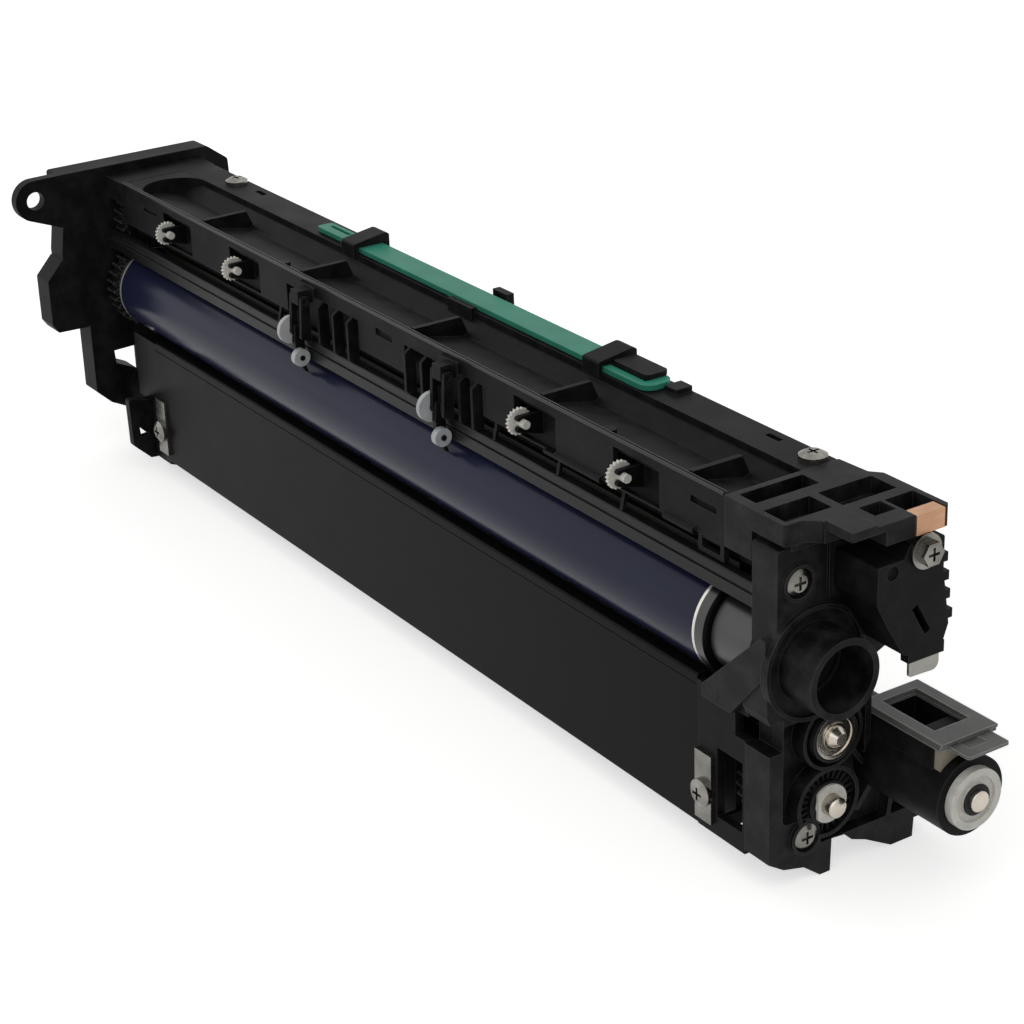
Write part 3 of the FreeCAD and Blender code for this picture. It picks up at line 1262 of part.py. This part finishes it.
def pieces():
    """Every sub-component by its name."""
    made = {}
    for make in (drum_tube, drum_flange_near, drum_flange_far, drum_far_pin, waste_auger, waste_gear,
                 upper_housing, guide_rail, far_end_plate, drive_end_cap, drive_end_cover,
                 connector_cover,
                 hex_screw, charge_contact, ground_tab, case_screws, developer_case, developer_lid,
                 doctor_blade, front_panel, near_side_plate, far_side_plate, edge_strips,
                 toner_port, port_seal, shutter, inlet_pad, auger_bush_rear, auger_bush_front,
                 bearing_outer_ring, bearing_inner_ring, blade_bracket, cleaning_blade,
                 charge_holder_near,
                 charge_holder_far, charge_roller_shaft, charge_roller_sleeve, cleaner_roller,
                 developer_sleeve, developer_shaft, magnet_roller, developer_gear,
                 front_gear_near, front_gear_far, rear_gear, mixing_auger_front, mixing_auger_rear,
                 lift_strap, strap_hook):
        made[make.__name__] = make
    for k, x in enumerate(star_offsets):
        made["star_wheel_%d" % (k + 1)] = lambda x=x: star_wheel(x)
    for k, x in enumerate(pawl_offsets):
        made["pawl_holder_%d" % (k + 1)] = lambda x=x: pawl_holder(x)
        made["pickoff_pawl_%d" % (k + 1)] = lambda x=x: pickoff_pawl(x)
        made["pawl_wheels_%d" % (k + 1)] = lambda x=x: pawl_wheels(x)
    return made


def main():
    os.makedirs("parts", exist_ok=True)
    for name, make in pieces().items():
        make().exportStep("parts/%s.step" % name)


if __name__ == "__main__":
    main()
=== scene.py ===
"""Printer drum unit: materials, fine detail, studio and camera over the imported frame.

+X runs along the drum and out of the drive end, -Y is the side where the paper passes the drum, +Z
is up, and the origin is the middle of the drive bore's mouth. The scene is in metres. The pieces'
measures, the patterns' sizes and all that is named mm are in millimetres; MM turns them to metres.
"""
import math

import bmesh
import bpy
import numpy as np
from mathutils import Matrix, Vector


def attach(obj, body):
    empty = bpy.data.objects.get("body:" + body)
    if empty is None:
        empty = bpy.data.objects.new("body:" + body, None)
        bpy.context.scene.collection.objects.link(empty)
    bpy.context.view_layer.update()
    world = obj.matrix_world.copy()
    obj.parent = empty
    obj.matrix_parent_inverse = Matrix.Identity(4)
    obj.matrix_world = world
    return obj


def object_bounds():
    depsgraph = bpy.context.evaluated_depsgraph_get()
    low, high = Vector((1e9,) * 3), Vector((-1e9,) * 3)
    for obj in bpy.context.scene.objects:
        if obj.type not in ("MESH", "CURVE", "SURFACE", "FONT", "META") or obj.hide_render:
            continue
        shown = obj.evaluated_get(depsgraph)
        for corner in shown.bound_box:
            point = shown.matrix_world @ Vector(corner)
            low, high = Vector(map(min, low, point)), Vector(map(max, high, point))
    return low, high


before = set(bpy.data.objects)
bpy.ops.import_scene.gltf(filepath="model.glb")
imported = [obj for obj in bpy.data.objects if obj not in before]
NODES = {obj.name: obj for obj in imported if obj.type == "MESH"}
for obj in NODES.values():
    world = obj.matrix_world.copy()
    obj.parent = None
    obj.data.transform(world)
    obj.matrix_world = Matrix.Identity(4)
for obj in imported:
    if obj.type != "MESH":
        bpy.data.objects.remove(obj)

MM = 0.001
CAD_BOUNDS = [list(corner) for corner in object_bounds()]
FACTOR, FIRST, SECOND = 0, 6, 7    # the inputs of a Mix node that mixes colours


def linear(code):
    """Linear RGBA of an sRGB colour written as a hex string."""
    def channel(text):
        c = int(text, 16) / 255
        return c / 12.92 if c <= 0.04045 else ((c + 0.055) / 1.055) ** 2.4
    return tuple(channel(code[i:i + 2]) for i in (0, 2, 4)) + (1.0,)


def feed(tree, socket, value):
    """A socket takes a value, another socket, or the first output that a node has in use."""
    if isinstance(value, bpy.types.Node):
        value = next(output for output in value.outputs if output.enabled)
    if isinstance(value, bpy.types.NodeSocket):
        tree.links.new(value, socket)
    else:
        socket.default_value = value


def add(tree, kind, inputs=None, **settings):
    """New node with its settings and its inputs, which take what feed takes."""
    node = tree.nodes.new("ShaderNode" + kind)
    for key, value in settings.items():
        setattr(node, key, value)
    for key, value in (inputs or {}).items():
        feed(tree, node.inputs[key], value)
    return node


class Paint:
    """A material under construction: its tree, its shader and the object's own coordinates."""

    def __init__(self, name, rough=0.5, metal=0.0):
        self.material = bpy.data.materials.new(name)
        self.material.use_nodes = True
        self.tree = self.material.node_tree
        self.tree.nodes.clear()
        self.shader = add(self.tree, "BsdfPrincipled", {"Roughness": rough, "Metallic": metal})
        add(self.tree, "OutputMaterial", {"Surface": self.shader})
        self.place = add(self.tree, "TexCoord").outputs["Object"]

    def set(self, **inputs):
        """The shader's inputs, with _ for each space in their names."""
        for key, value in inputs.items():
            feed(self.tree, self.shader.inputs[key.replace("_", " ")], value)

    def edge_wear_and_highlight(self, width_mm, most):
        """A mask that rises from 0 to most near convex edges, for pale edges that are partly wear
        and partly painted highlight.
        """
        bevel = add(self.tree, "Bevel", {"Radius": width_mm * MM}, samples=6)
        normal = add(self.tree, "NewGeometry").outputs["Normal"]
        same = add(self.tree, "VectorMath", {0: bevel, 1: normal}, operation="DOT_PRODUCT")
        return add(self.tree, "MapRange", {"Value": same.outputs["Value"], "From Min": 0.97,
                                           "From Max": 0.86, "To Max": most})

    def bump(self, height, depth_mm, bevel_mm):
        """Relief of depth_mm, over edges that are softened by bevel_mm."""
        inputs = {"Height": height, "Distance": depth_mm * MM, "Strength": 1.0}
        if bevel_mm:
            inputs["Normal"] = add(self.tree, "Bevel", {"Radius": bevel_mm * MM}, samples=4)
        self.set(Normal=add(self.tree, "Bump", inputs))

    def grain(self, size_mm, depth_mm, bevel_mm=0.0, detail=2.0, rough=0.5):
        """Relief in lumps about size_mm across, over edges that are softened by bevel_mm."""
        lumps = add(self.tree, "TexNoise", {"Vector": self.place, "Scale": 1 / (size_mm * MM),
                                            "Detail": detail, "Roughness": rough})
        self.bump(lumps, depth_mm, bevel_mm)


def cloudy(p, size_mm, colour, light, low=0.3, high=0.7, detail=3.0, rough=0.5):
    """Two close colours in soft clouds about size_mm across."""
    cloud = add(p.tree, "TexNoise", {"Vector": p.place, "Scale": 1 / (size_mm * MM),
                                     "Detail": detail, "Roughness": rough})
    share = add(p.tree, "MapRange", {"Value": cloud, "From Min": low, "From Max": high})
    return add(p.tree, "Mix", {FACTOR: share, FIRST: linear(colour), SECOND: linear(light)},
               data_type="RGBA")


def moulded(name, colour, light, rough=(0.46, 0.62), grain_mm=0.35, grain_depth=0.012,
            edge_wear_and_highlight_to=None, shine=0.08, dust=0.0):
    """Moulded plastic: fine spark-eroded grain, faint flow marks, and pale edges that are partly
    wear and partly painted highlight.

    The real grain is about 0.05 mm across and is drawn coarser, so that it shows. dust is the share
    of a pale film that lies in soft patches a few millimetres across.
    """
    p = Paint(name)
    base = cloudy(p, 14.0, colour, light, 0.35, 0.7, detail=4.0, rough=0.6)
    if dust:
        patches = add(p.tree, "TexNoise", {"Vector": p.place, "Scale": 1 / (7.0 * MM),
                                           "Detail": 5.0, "Roughness": 0.66})
        film = add(p.tree, "MapRange", {"Value": patches, "From Min": 0.42, "From Max": 0.78,
                                        "To Max": dust})
        base = add(p.tree, "Mix", {FACTOR: film, FIRST: base, SECOND: linear("5a5957")},
                   data_type="RGBA")
    # Pale edges: partly wear, partly painted highlight
    if edge_wear_and_highlight_to:
        base = add(p.tree, "Mix", {FACTOR: p.edge_wear_and_highlight(0.45, 0.5), FIRST: base,
                                   SECOND: linear(edge_wear_and_highlight_to)}, data_type="RGBA")
    # The sheen follows the same clouds as the colour
    flow = add(p.tree, "TexNoise", {"Vector": p.place, "Scale": 1 / (14.0 * MM), "Detail": 4.0,
                                    "Roughness": 0.6})
    sheen = add(p.tree, "MapRange", {"Value": flow, "From Min": 0.3, "From Max": 0.75,
                                     "To Min": rough[0], "To Max": rough[1]})
    p.set(Base_Color=base, Roughness=sheen, Specular_IOR_Level=shine)
    p.grain(grain_mm, grain_depth, bevel_mm=0.25, rough=0.6)
    return p.material


def black_abs():
    # Black ABS from a spark-eroded mould: nearly black and dull, with pale edges that are partly
    # polished by handling and partly painted highlight
    return moulded("black_abs_moulded", "0a0a0b", "111112", edge_wear_and_highlight_to="4c4c4e", dust=0.1)


def rubbed_abs():
    # The same plastic where paper slides over it: smoother, with pale edges that are partly rubbed
    # by paper and partly painted highlight
    return moulded("black_abs_rubbed", "0f0f10", "181819", rough=(0.32, 0.42), grain_depth=0.005,
                   edge_wear_and_highlight_to="68686b", shine=0.15)


def lip_abs():
    # The casing's top lip, polished by every hand that lifts the unit, and painted a lighter grey
    # than the casing as a painted highlight: a thin grey line of light
    return moulded("black_abs_lip", "1a1a1c", "232325", rough=(0.3, 0.4), grain_depth=0.004,
                   shine=0.3)


def scuffed_abs():
    # The same plastic where hands and covers rub: greyish scuffs in patches, and pale edges that
    # are partly wear and partly painted highlight
    return moulded("black_abs_scuffed", "0c0c0d", "171718", rough=(0.42, 0.58), edge_wear_and_highlight_to="565658",
                   shine=0.1, dust=0.26)


def black_panel():
    # Black ABS from a polished mould: darker and smoother, with a long soft sheen and faint pale
    # edges that are partly wear and partly painted highlight
    return moulded("black_abs_satin", "080808", "0d0d0d", rough=(0.34, 0.42), grain_mm=0.25,
                   grain_depth=0.005, edge_wear_and_highlight_to="3a3a3c", shine=0.05)


def black_acetal():
    # Black acetal, moulded: gears stay a little greasy, so their flanks shine; their tooth edges
    # are painted pale grey as a painted highlight
    return moulded("black_acetal_gear", "18181a", "222224", rough=(0.28, 0.38), grain_depth=0.004,
                   edge_wear_and_highlight_to="8c8c90", shine=0.25)


def acetal(name="natural_acetal", colour="cfcec6", light="dddbd3"):
    # Natural acetal, moulded: milky white, faintly see-through at thin edges, with spots of grime
    p = Paint(name, 0.42)
    clean = cloudy(p, 5.0, colour, light, 0.35, 0.65)
    spots = add(p.tree, "TexNoise", {"Vector": p.place, "Scale": 1 / (2.2 * MM), "Detail": 4.0,
                                     "Roughness": 0.7})
    grime = add(p.tree, "MapRange", {"Value": spots, "From Min": 0.5, "From Max": 0.75,
                                     "To Max": 0.35})
    base = add(p.tree, "Mix", {FACTOR: grime, FIRST: clean, SECOND: linear("8a867d")},
               data_type="RGBA")
    p.set(Base_Color=base, Subsurface_Weight=0.1, Subsurface_Scale=0.0015)
    p.grain(0.6, 0.01, bevel_mm=0.15)
    return p.material


def photoconductor():
    """Organic film on an aluminium tube: dark blue with a soft gloss, and a bare band at each end.

    The band is a mask on X: 1 within band_mm of the tube's ends, 0 between.
    """
    band_mm, soft_mm = 1.0, 0.08
    middle, half = -217.0 * MM, 347.0 / 2 * MM
    p = Paint("organic_photoconductor")
    x = add(p.tree, "SeparateXYZ", {"Vector": p.place}).outputs["X"]
    along = add(p.tree, "Math", {0: x, 1: middle}, operation="SUBTRACT")
    away = add(p.tree, "Math", {0: along}, operation="ABSOLUTE")
    bare = add(p.tree, "MapRange", {"Value": away, "From Min": half - (band_mm + soft_mm) * MM,
                                    "From Max": half - band_mm * MM})
    film = cloudy(p, 60.0, "1b1f35", "22263f", detail=2.0)
    base = add(p.tree, "Mix", {FACTOR: bare, FIRST: film, SECOND: linear("d9d6ce")},
               data_type="RGBA")
    metallic = add(p.tree, "MapRange", {"Value": bare, "To Max": 0.6})
    sheen = add(p.tree, "MapRange", {"Value": bare, "To Min": 0.24, "To Max": 0.3})
    p.set(Base_Color=base, Metallic=metallic, Roughness=sheen, Specular_IOR_Level=0.13)
    return p.material


def hub_acetal():
    """Black acetal, turned smooth: a grey satin sheen along the hub, and a blacker rim at the drum.

    The hub's mask lies on X: 1 beyond rim_mm, 0 before it.
    """
    rim_mm, soft_mm = -39.2, 0.05
    p = Paint("black_acetal_turned")
    x = add(p.tree, "SeparateXYZ", {"Vector": p.place}).outputs["X"]
    beyond = add(p.tree, "MapRange", {"Value": x, "From Min": (rim_mm - soft_mm) * MM,
                                      "From Max": (rim_mm + soft_mm) * MM})
    grey = cloudy(p, 9.0, "1a1a1c", "222225")
    base = add(p.tree, "Mix", {FACTOR: beyond, FIRST: linear("0b0b0c"), SECOND: grey},
               data_type="RGBA")
    # The sheen follows the same clouds as the grey
    cloud = add(p.tree, "TexNoise", {"Vector": p.place, "Scale": 1 / (9.0 * MM), "Detail": 3.0})
    sheen = add(p.tree, "MapRange", {"Value": cloud, "From Min": 0.3, "From Max": 0.7,
                                     "To Min": 0.26, "To Max": 0.36})
    p.set(Base_Color=base, Roughness=sheen, Specular_IOR_Level=0.6)
    p.grain(0.4, 0.003, bevel_mm=0.2)
    return p.material


def metal(name, colour, light, rough, lines_mm=0.15, along="X", depth=0.004):
    """Metal with fine lines lines_mm apart, drawn out fifty times as long on the axis along.

    The real lines are a few hundredths of a millimetre apart and are drawn coarser, so that they
    show.
    """
    p = Paint(name, metal=1.0)
    stretch = {"X": (0.02, 1.0, 1.0), "Y": (1.0, 0.02, 1.0)}[along]
    place = add(p.tree, "Mapping", {"Vector": p.place, "Scale": stretch})
    lines = add(p.tree, "TexNoise", {"Vector": place, "Scale": 1 / (lines_mm * MM), "Detail": 3.0,
                                     "Roughness": 0.6})
    sheen = add(p.tree, "MapRange", {"Value": lines, "From Min": 0.3, "From Max": 0.7,
                                     "To Min": rough * 0.8, "To Max": rough * 1.3})
    p.set(Base_Color=cloudy(p, 6.0, colour, light), Roughness=sheen)
    p.bump(lines, depth, bevel_mm=0.12)
    return p.material


def rubber(name, colour, light, rough=0.7):
    """Rubber, foam, felt or pressed powder: dull, with a fine uneven skin."""
    p = Paint(name, rough)
    p.set(Base_Color=cloudy(p, 8.0, colour, light), Specular_IOR_Level=0.25)
    p.grain(0.3, 0.02, detail=3.0)
    return p.material


def frosted():
    # Frosted polyester sheet: grey and matt with pale edges that are partly cut edges and partly
    # painted highlight; what lies behind it shows faintly
    p = Paint("frosted_polyester", 0.5)
    sheet = cloudy(p, 9.0, "525251", "666664", 0.35, 0.7)
    base = add(p.tree, "Mix", {FACTOR: p.edge_wear_and_highlight(0.9, 0.7), FIRST: sheet, SECOND: linear("b8b8b5")},
               data_type="RGBA")
    p.set(Base_Color=base, Transmission_Weight=0.25, IOR=1.4)
    p.grain(0.25, 0.008)
    return p.material


def green_strap():
    # Polypropylene, moulded: bluish green, slightly waxy
    p = Paint("green_polypropylene", 0.45)
    p.set(Base_Color=cloudy(p, 10.0, "2c8069", "348b74"), Subsurface_Weight=0.08,
          Subsurface_Scale=0.001, Specular_IOR_Level=0.2)
    p.grain(0.4, 0.012, bevel_mm=0.3)
    return p.material


PALETTE = {
    "black_abs": black_abs(),
    "panel": black_panel(),
    "scuffed": scuffed_abs(),
    "rubbed": rubbed_abs(),
    "lip": lip_abs(),
    "black_acetal": black_acetal(),
    "drum": photoconductor(),
    "white": acetal(),
    # The same acetal in thin discs, painted greyer: painted shade
    "shaded_disc": acetal("shaded_disc_acetal", "adb0b3", "bcbec0"),
    "hub": hub_acetal(),
    # Steel, centreless ground: fine lines along the bar, bright but not mirror-like
    "steel": metal("ground_steel", "b8b0a5", "c6beb3", 0.26),
    # Bearing steel, ground and lapped: the brightest metal on the unit
    "bearing": metal("bearing_steel", "c4bdb2", "d2cbc0", 0.16, lines_mm=0.5, depth=0.001),
    # Steel, zinc plated: greyish, slightly cloudy
    "zinc": metal("zinc_plated_steel", "8b8a84", "9b9a93", 0.38, lines_mm=0.4),
    # Steel, zinc plated, then driven and handled: darker and shinier than the tab; on the edge
    # strips this darker tone is painted shade
    "screw": metal("zinc_plated_screw", "6b6964", "8b8983", 0.24, lines_mm=0.3, depth=0.003),
    # Steel, blackened: the bracket deep under the casing shows no shine
    "dark_steel": metal("blackened_steel", "2b2a29", "353433", 0.5, lines_mm=0.4),
    # Aluminium, blasted, under a film of toner: even matt dark grey
    "aluminium": metal("blasted_aluminium", "4c4b4a", "585756", 0.55),
    # Copper alloy sheet, rolled: pale and a little tarnished
    "copper": metal("rolled_copper", "ad8669", "bc9578", 0.48, lines_mm=0.4, along="Y"),
    # Conductive rubber, ground: black and dull
    "rubber": rubber("conductive_rubber", "141414", "1c1c1c"),
    # Polyurethane, cast: brownish black
    "blade": rubber("cast_polyurethane", "17140f", "1e1a13", 0.4),
    # Polyurethane foam, ground: grey and quite dull
    "foam": rubber("grey_foam", "3c3c3a", "4a4a48", 0.9),
    "frosted": frosted(),
    "strap": green_strap(),
    # Felt, pressed: beige and quite dull
    "pad": rubber("beige_felt", "8d8577", "9c9485", 0.9),
    # Ferrite, pressed and sintered: brownish black with a weak shine
    "ferrite": rubber("ferrite_magnet", "262422", "2e2c2a", 0.6),
}

FINISHES = {
    "drum": ["drum_tube"],
    "panel": ["front_panel"],
    "rubbed": ["guide_rail"],
    "scuffed": ["drive_end_cap", "drive_end_cover"],
    "hub": ["drum_flange_near"],
    "white": ["waste_auger", "auger_bush_rear", "auger_bush_front", "charge_holder_near",
              "charge_holder_far", "star_wheel_1", "star_wheel_2", "star_wheel_3", "star_wheel_4"],
    "shaded_disc": ["pawl_wheels_1", "pawl_wheels_2"],
    "black_acetal": ["drum_flange_far", "waste_gear", "developer_gear", "front_gear_near",
                     "front_gear_far", "rear_gear"],
    "steel": ["drum_far_pin", "doctor_blade", "charge_roller_shaft", "developer_shaft",
              "mixing_auger_front", "mixing_auger_rear"],
    "bearing": ["bearing_outer_ring", "bearing_inner_ring"],
    "zinc": ["ground_tab"],
    # The edge strips take the screws' darker zinc as painted shade
    "screw": ["hex_screw", "case_screws", "edge_strips"],
    "dark_steel": ["blade_bracket"],
    "aluminium": ["developer_sleeve"],
    "copper": ["charge_contact"],
    "rubber": ["charge_roller_sleeve"],
    "blade": ["cleaning_blade"],
    "foam": ["cleaner_roller"],
    "frosted": ["port_seal", "shutter"],
    "strap": ["lift_strap"],
    "pad": ["inlet_pad"],
    "ferrite": ["magnet_roller"],
}


def dress(obj, material):
    obj.data.materials.clear()
    obj.data.materials.append(material)


def dress_nodes():
    """Every node gets its finish from FINISHES, and the casing's black ABS if it isn't there."""
    named = {node: key for key, nodes in FINISHES.items() for node in nodes}
    for name, obj in NODES.items():
        dress(obj, PALETTE[named.get(name, "black_abs")])


def surface(name, grid, finish, body, wrap=(True, False)):
    """Mesh over a grid of points (rows, columns, xyz in mm), riding on a body.

    wrap joins the last row or column to the first. Point (i, j) is corner i * columns + j, and each
    quad takes its two neighbours ahead in both directions. Points that meet at a pole or a closing
    line are merged. Edges that bend by more than 35 degrees stay sharp.
    """
    rows, columns = grid.shape[:2]
    i = np.arange(rows if wrap[0] else rows - 1)[:, None]
    j = np.arange(columns if wrap[1] else columns - 1)[None, :]
    ahead_i, ahead_j = (i + 1) % rows, (j + 1) % columns
    quads = np.stack([i * columns + j, ahead_i * columns + j, ahead_i * columns + ahead_j,
                      i * columns + ahead_j], axis=-1).reshape(-1, 4)
    mesh = bpy.data.meshes.new(name)
    mesh.from_pydata((grid.reshape(-1, 3) * MM).tolist(), [], quads.tolist())
    bm = bmesh.new()
    bm.from_mesh(mesh)
    bmesh.ops.remove_doubles(bm, verts=bm.verts, dist=1e-7)
    bmesh.ops.recalc_face_normals(bm, faces=bm.faces)
    bm.to_mesh(mesh)
    bm.free()
    mesh.shade_smooth()
    mesh.set_sharp_from_angle(angle=math.radians(35))
    obj = bpy.data.objects.new(name, mesh)
    bpy.context.collection.objects.link(obj)
    dress(obj, PALETTE[finish])
    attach(obj, body)


def turned(name, profile, centre, finish, body, closed=False):
    """Turned piece along X: the profile's points (x, radius) go once round the centre (y, z).

    At the angle a, a point lies at y + radius * cos(a), z + radius * sin(a). A closed profile gives
    a ring; an open one starts and ends on the axis.
    """
    steps = 48
    x, radius = np.array(profile, float).T
    turn = np.linspace(0, 2 * np.pi, steps, endpoint=False)[:, None]
    grid = np.stack([np.broadcast_to(x, (steps, len(x))), centre[0] + radius * np.cos(turn),
                     centre[1] + radius * np.sin(turn)], axis=-1)
    surface(name, grid, finish, body, wrap=(True, closed))


def dome(name, start, reach, radius, centre, body):
    """Rounded shaft end: a quarter ellipse from the shaft's radius at start to the axis at its tip.

    The tip lies at start + reach, and the foot is sunk into the shaft.
    """
    sunk, slack = 0.3, 0.02
    bend = np.linspace(0, np.pi / 2, 9)
    profile = [(start - sunk, 0.0), (start - sunk, radius - slack)]
    profile += list(zip(start + reach * np.sin(bend), radius * np.cos(bend)))
    turned(name, profile, centre, "steel", body)


def ribbed_ring(name, foot, low, high, inner, outer, centre, count):
    """Ring of radial ribs: its height is low, and high where cos(count * angle) is above zero.

    The cross-section is a rectangle from foot to that height, and the ribs' flanks follow a steep
    S-curve of the cosine.
    """
    steep = 6
    turn = np.linspace(0, 2 * np.pi, count * 16, endpoint=False)
    top = low + (high - low) * 0.5 * (1 + np.tanh(steep * np.cos(count * turn)))
    ends = np.stack([np.full_like(top, foot), top, top, np.full_like(top, foot)], axis=1)
    radius = np.array([inner, inner, outer, outer])[None, :]
    grid = np.stack([ends, centre[0] + radius * np.cos(turn)[:, None],
                     centre[1] + radius * np.sin(turn)[:, None]], axis=-1)
    surface(name, grid, "black_abs", "frame", wrap=(True, True))


def round_end(name, back_x, centre, radius, low, top):
    """Filling at the end of a trough that leaves it round in plan.

    At the angle a from -90 to 90 degrees, a rectangle in the plane y = centre_y + radius * sin(a)
    runs from back_x to the round wall at x = centre_x - radius * cos(a), between low and top. The
    first and last rows shrink to a point and close the ends.
    """
    turn = np.linspace(-np.pi / 2, np.pi / 2, 49)
    wall_x, y = centre[0] - radius * np.cos(turn), centre[1] + radius * np.sin(turn)
    x = np.stack([np.full_like(y, back_x), wall_x, wall_x, np.full_like(y, back_x)], axis=1)
    z = np.broadcast_to([low, low, top, top], x.shape)
    grid = np.stack([x, np.broadcast_to(y[:, None], x.shape), z], axis=-1)
    points = np.broadcast_to(grid.mean(axis=1, keepdims=True), grid.shape)
    grid = np.concatenate([points[:1], grid, points[-1:]])
    surface(name, grid, "black_abs", "frame", wrap=(False, True))


def bead(name, x_ends, y_edges, low, top):
    """Bead along X on a wall's top, with the half superellipse |u|^4 + |v|^4 = 1 as its section.

    u runs across the foot from edge to edge, and v up from low to top. The section is carried
    straight from one end to the other and shrinks to its foot's middle at both, which closes them.
    """
    middle, half = sum(y_edges) / 2, (y_edges[1] - y_edges[0]) / 2
    turn = np.linspace(0, np.pi, 13)
    y = middle + half * np.sign(np.cos(turn)) * np.abs(np.cos(turn)) ** 0.5
    z = low + (top - low) * np.sin(turn) ** 0.5
    x = np.array([x_ends[0], x_ends[0], x_ends[1], x_ends[1]])
    open_row = np.array([0.0, 1.0, 1.0, 0.0])[:, None]
    grid = np.stack([np.broadcast_to(x[:, None], (len(x), len(y))),
                     middle + (y - middle) * open_row, low + (z - low) * open_row], axis=-1)
    surface(name, grid, "lip", "frame", wrap=(False, True))


def details():
    """Small forms that the solids leave plain; the axes are places (y, z)."""
    front_axis, rear_axis, roller_axis = (5.504, -43.653), (29.595, -36.972), (6.794, -23.695)
    shaft_radius = 3.0
    dome("front_shaft_end", start=-8.4, reach=1.3, radius=shaft_radius, centre=front_axis,
         body="front_screw")
    dome("rear_shaft_end", start=19.8, reach=0.7, radius=shaft_radius, centre=rear_axis,
         body="rear_screw")
    ribbed_ring("bush_ribs", foot=-17.1, low=-16.2, high=-13.2, inner=6.3, outer=9.3,
                centre=front_axis, count=26)

    # Rubber ring round the rear shaft, with its outer front edge bevelled
    back, rim, face = 18.3, 18.62, 18.75
    inner, bevel, outer = 3.08, 4.3, 4.5
    ring = [(back, inner), (back, outer), (rim, outer), (face, bevel), (face, inner)]
    turned("retaining_ring", ring, rear_axis, "rubber", "frame", closed=True)

    # Bearing's shield: a pressed ring whose face waves three times from its inner to its outer edge
    step = np.linspace(0, 1, 25)
    back, face, wave, inner, width = -11.65, -11.36, 0.04, 4.15, 1.25
    radii = inner + width * step
    waves = face + wave * np.cos(6 * np.pi * step)
    shield = [(back, radii[0])] + list(zip(waves, radii)) + [(back, radii[-1])]
    turned("bearing_shield", shield, roller_axis, "bearing", "frame", closed=True)

    # Two thin lips with a groove between them, along the top of the front wall
    wall_ends, foot = (-388.5, -36.2), 41.2
    bead("lip_outer", wall_ends, y_edges=(-10.98, -10.42), low=foot, top=42.45)
    bead("lip_inner", wall_ends, y_edges=(-9.72, -9.22), low=foot, top=42.3)
    round_end("trough_end", back_x=-389.3, centre=(-371.5, 2.65), radius=12.1, low=34.6, top=41.9)


def plainly_seen(tree):
    """1 for rays from the camera, off a gloss or through glass, and 0 for the light that falls."""
    rays = add(tree, "LightPath").outputs
    seen = add(tree, "Math", {0: rays["Is Camera Ray"], 1: rays["Is Glossy Ray"]},
               operation="MAXIMUM")
    return add(tree, "Math", {0: seen, 1: rays["Is Transmission Ray"]}, operation="MAXIMUM")


def studio():
    """Pale floor, white surroundings and three soft lamps."""
    sky_light, floor_glow = 0.28, 0.6
    world = bpy.data.worlds.new("studio")
    bpy.context.scene.world = world
    world.use_nodes = True
    tree = world.node_tree
    tree.nodes.clear()
    strength = add(tree, "MapRange", {"Value": plainly_seen(tree), "To Min": sky_light})
    back = add(tree, "Background", {"Color": linear("ffffff"), "Strength": strength})
    add(tree, "OutputWorld", {"Surface": back})

    floor_level = CAD_BOUNDS[0][2]
    mesh = bpy.data.meshes.new("floor")
    bm = bmesh.new()
    bmesh.ops.create_circle(bm, cap_ends=True, segments=96, radius=6.0)
    bm.to_mesh(mesh)
    bm.free()
    floor = bpy.data.objects.new("floor", mesh)
    bpy.context.collection.objects.link(floor)
    floor.location = (-0.2, 0.0, floor_level)
    paint = Paint("pale_floor", 0.9)
    glow = add(paint.tree, "MapRange", {"Value": plainly_seen(paint.tree), "To Max": floor_glow})
    paint.set(Base_Color=linear("e9e9e7"), Emission_Color=linear("ffffff"), Emission_Strength=glow)
    dress(floor, paint.material)

    centre = Vector((-0.2, 0.0, 0.0))
    for name, place, size, power in (("key", (0.9, -0.9, 1.3), (2.2, 2.2), 12.0),
                                     ("fill", (-1.3, -0.9, 0.9), (2.2, 2.2), 6.0),
                                     ("top", (-0.3, 0.5, 1.5), (2.4, 2.0), 4.6)):
        light = bpy.data.lights.new(name, "AREA")
        light.shape = "RECTANGLE"
        light.size, light.size_y = size
        light.energy = power
        lamp = bpy.data.objects.new(name, light)
        bpy.context.collection.objects.link(lamp)
        lamp.location = place
        lamp.rotation_euler = (centre - Vector(place)).to_track_quat("-Z", "Y").to_euler()


def camera():
    """The photograph's viewpoint, found from the drum's two end rings and the casing's edges."""
    right = Vector((0.5548, 0.8313, -0.0342))
    up = Vector((-0.3244, 0.2540, 0.9112))
    back = Vector((0.7661, -0.4945, 0.4106))
    data = bpy.data.cameras.new("camera")
    data.lens = 89.29
    data.sensor_width = 36.0
    data.clip_start = 0.05
    cam = bpy.data.objects.new("camera", data)
    bpy.context.collection.objects.link(cam)
    turn = Matrix((right, up, back)).transposed().to_4x4()
    cam.matrix_world = Matrix.Translation((0.4331, -0.3783, 0.3064)) @ turn
    bpy.context.scene.camera = cam


dress_nodes()
details()
studio()
camera()
bpy.context.scene.view_settings.view_transform = "Standard"
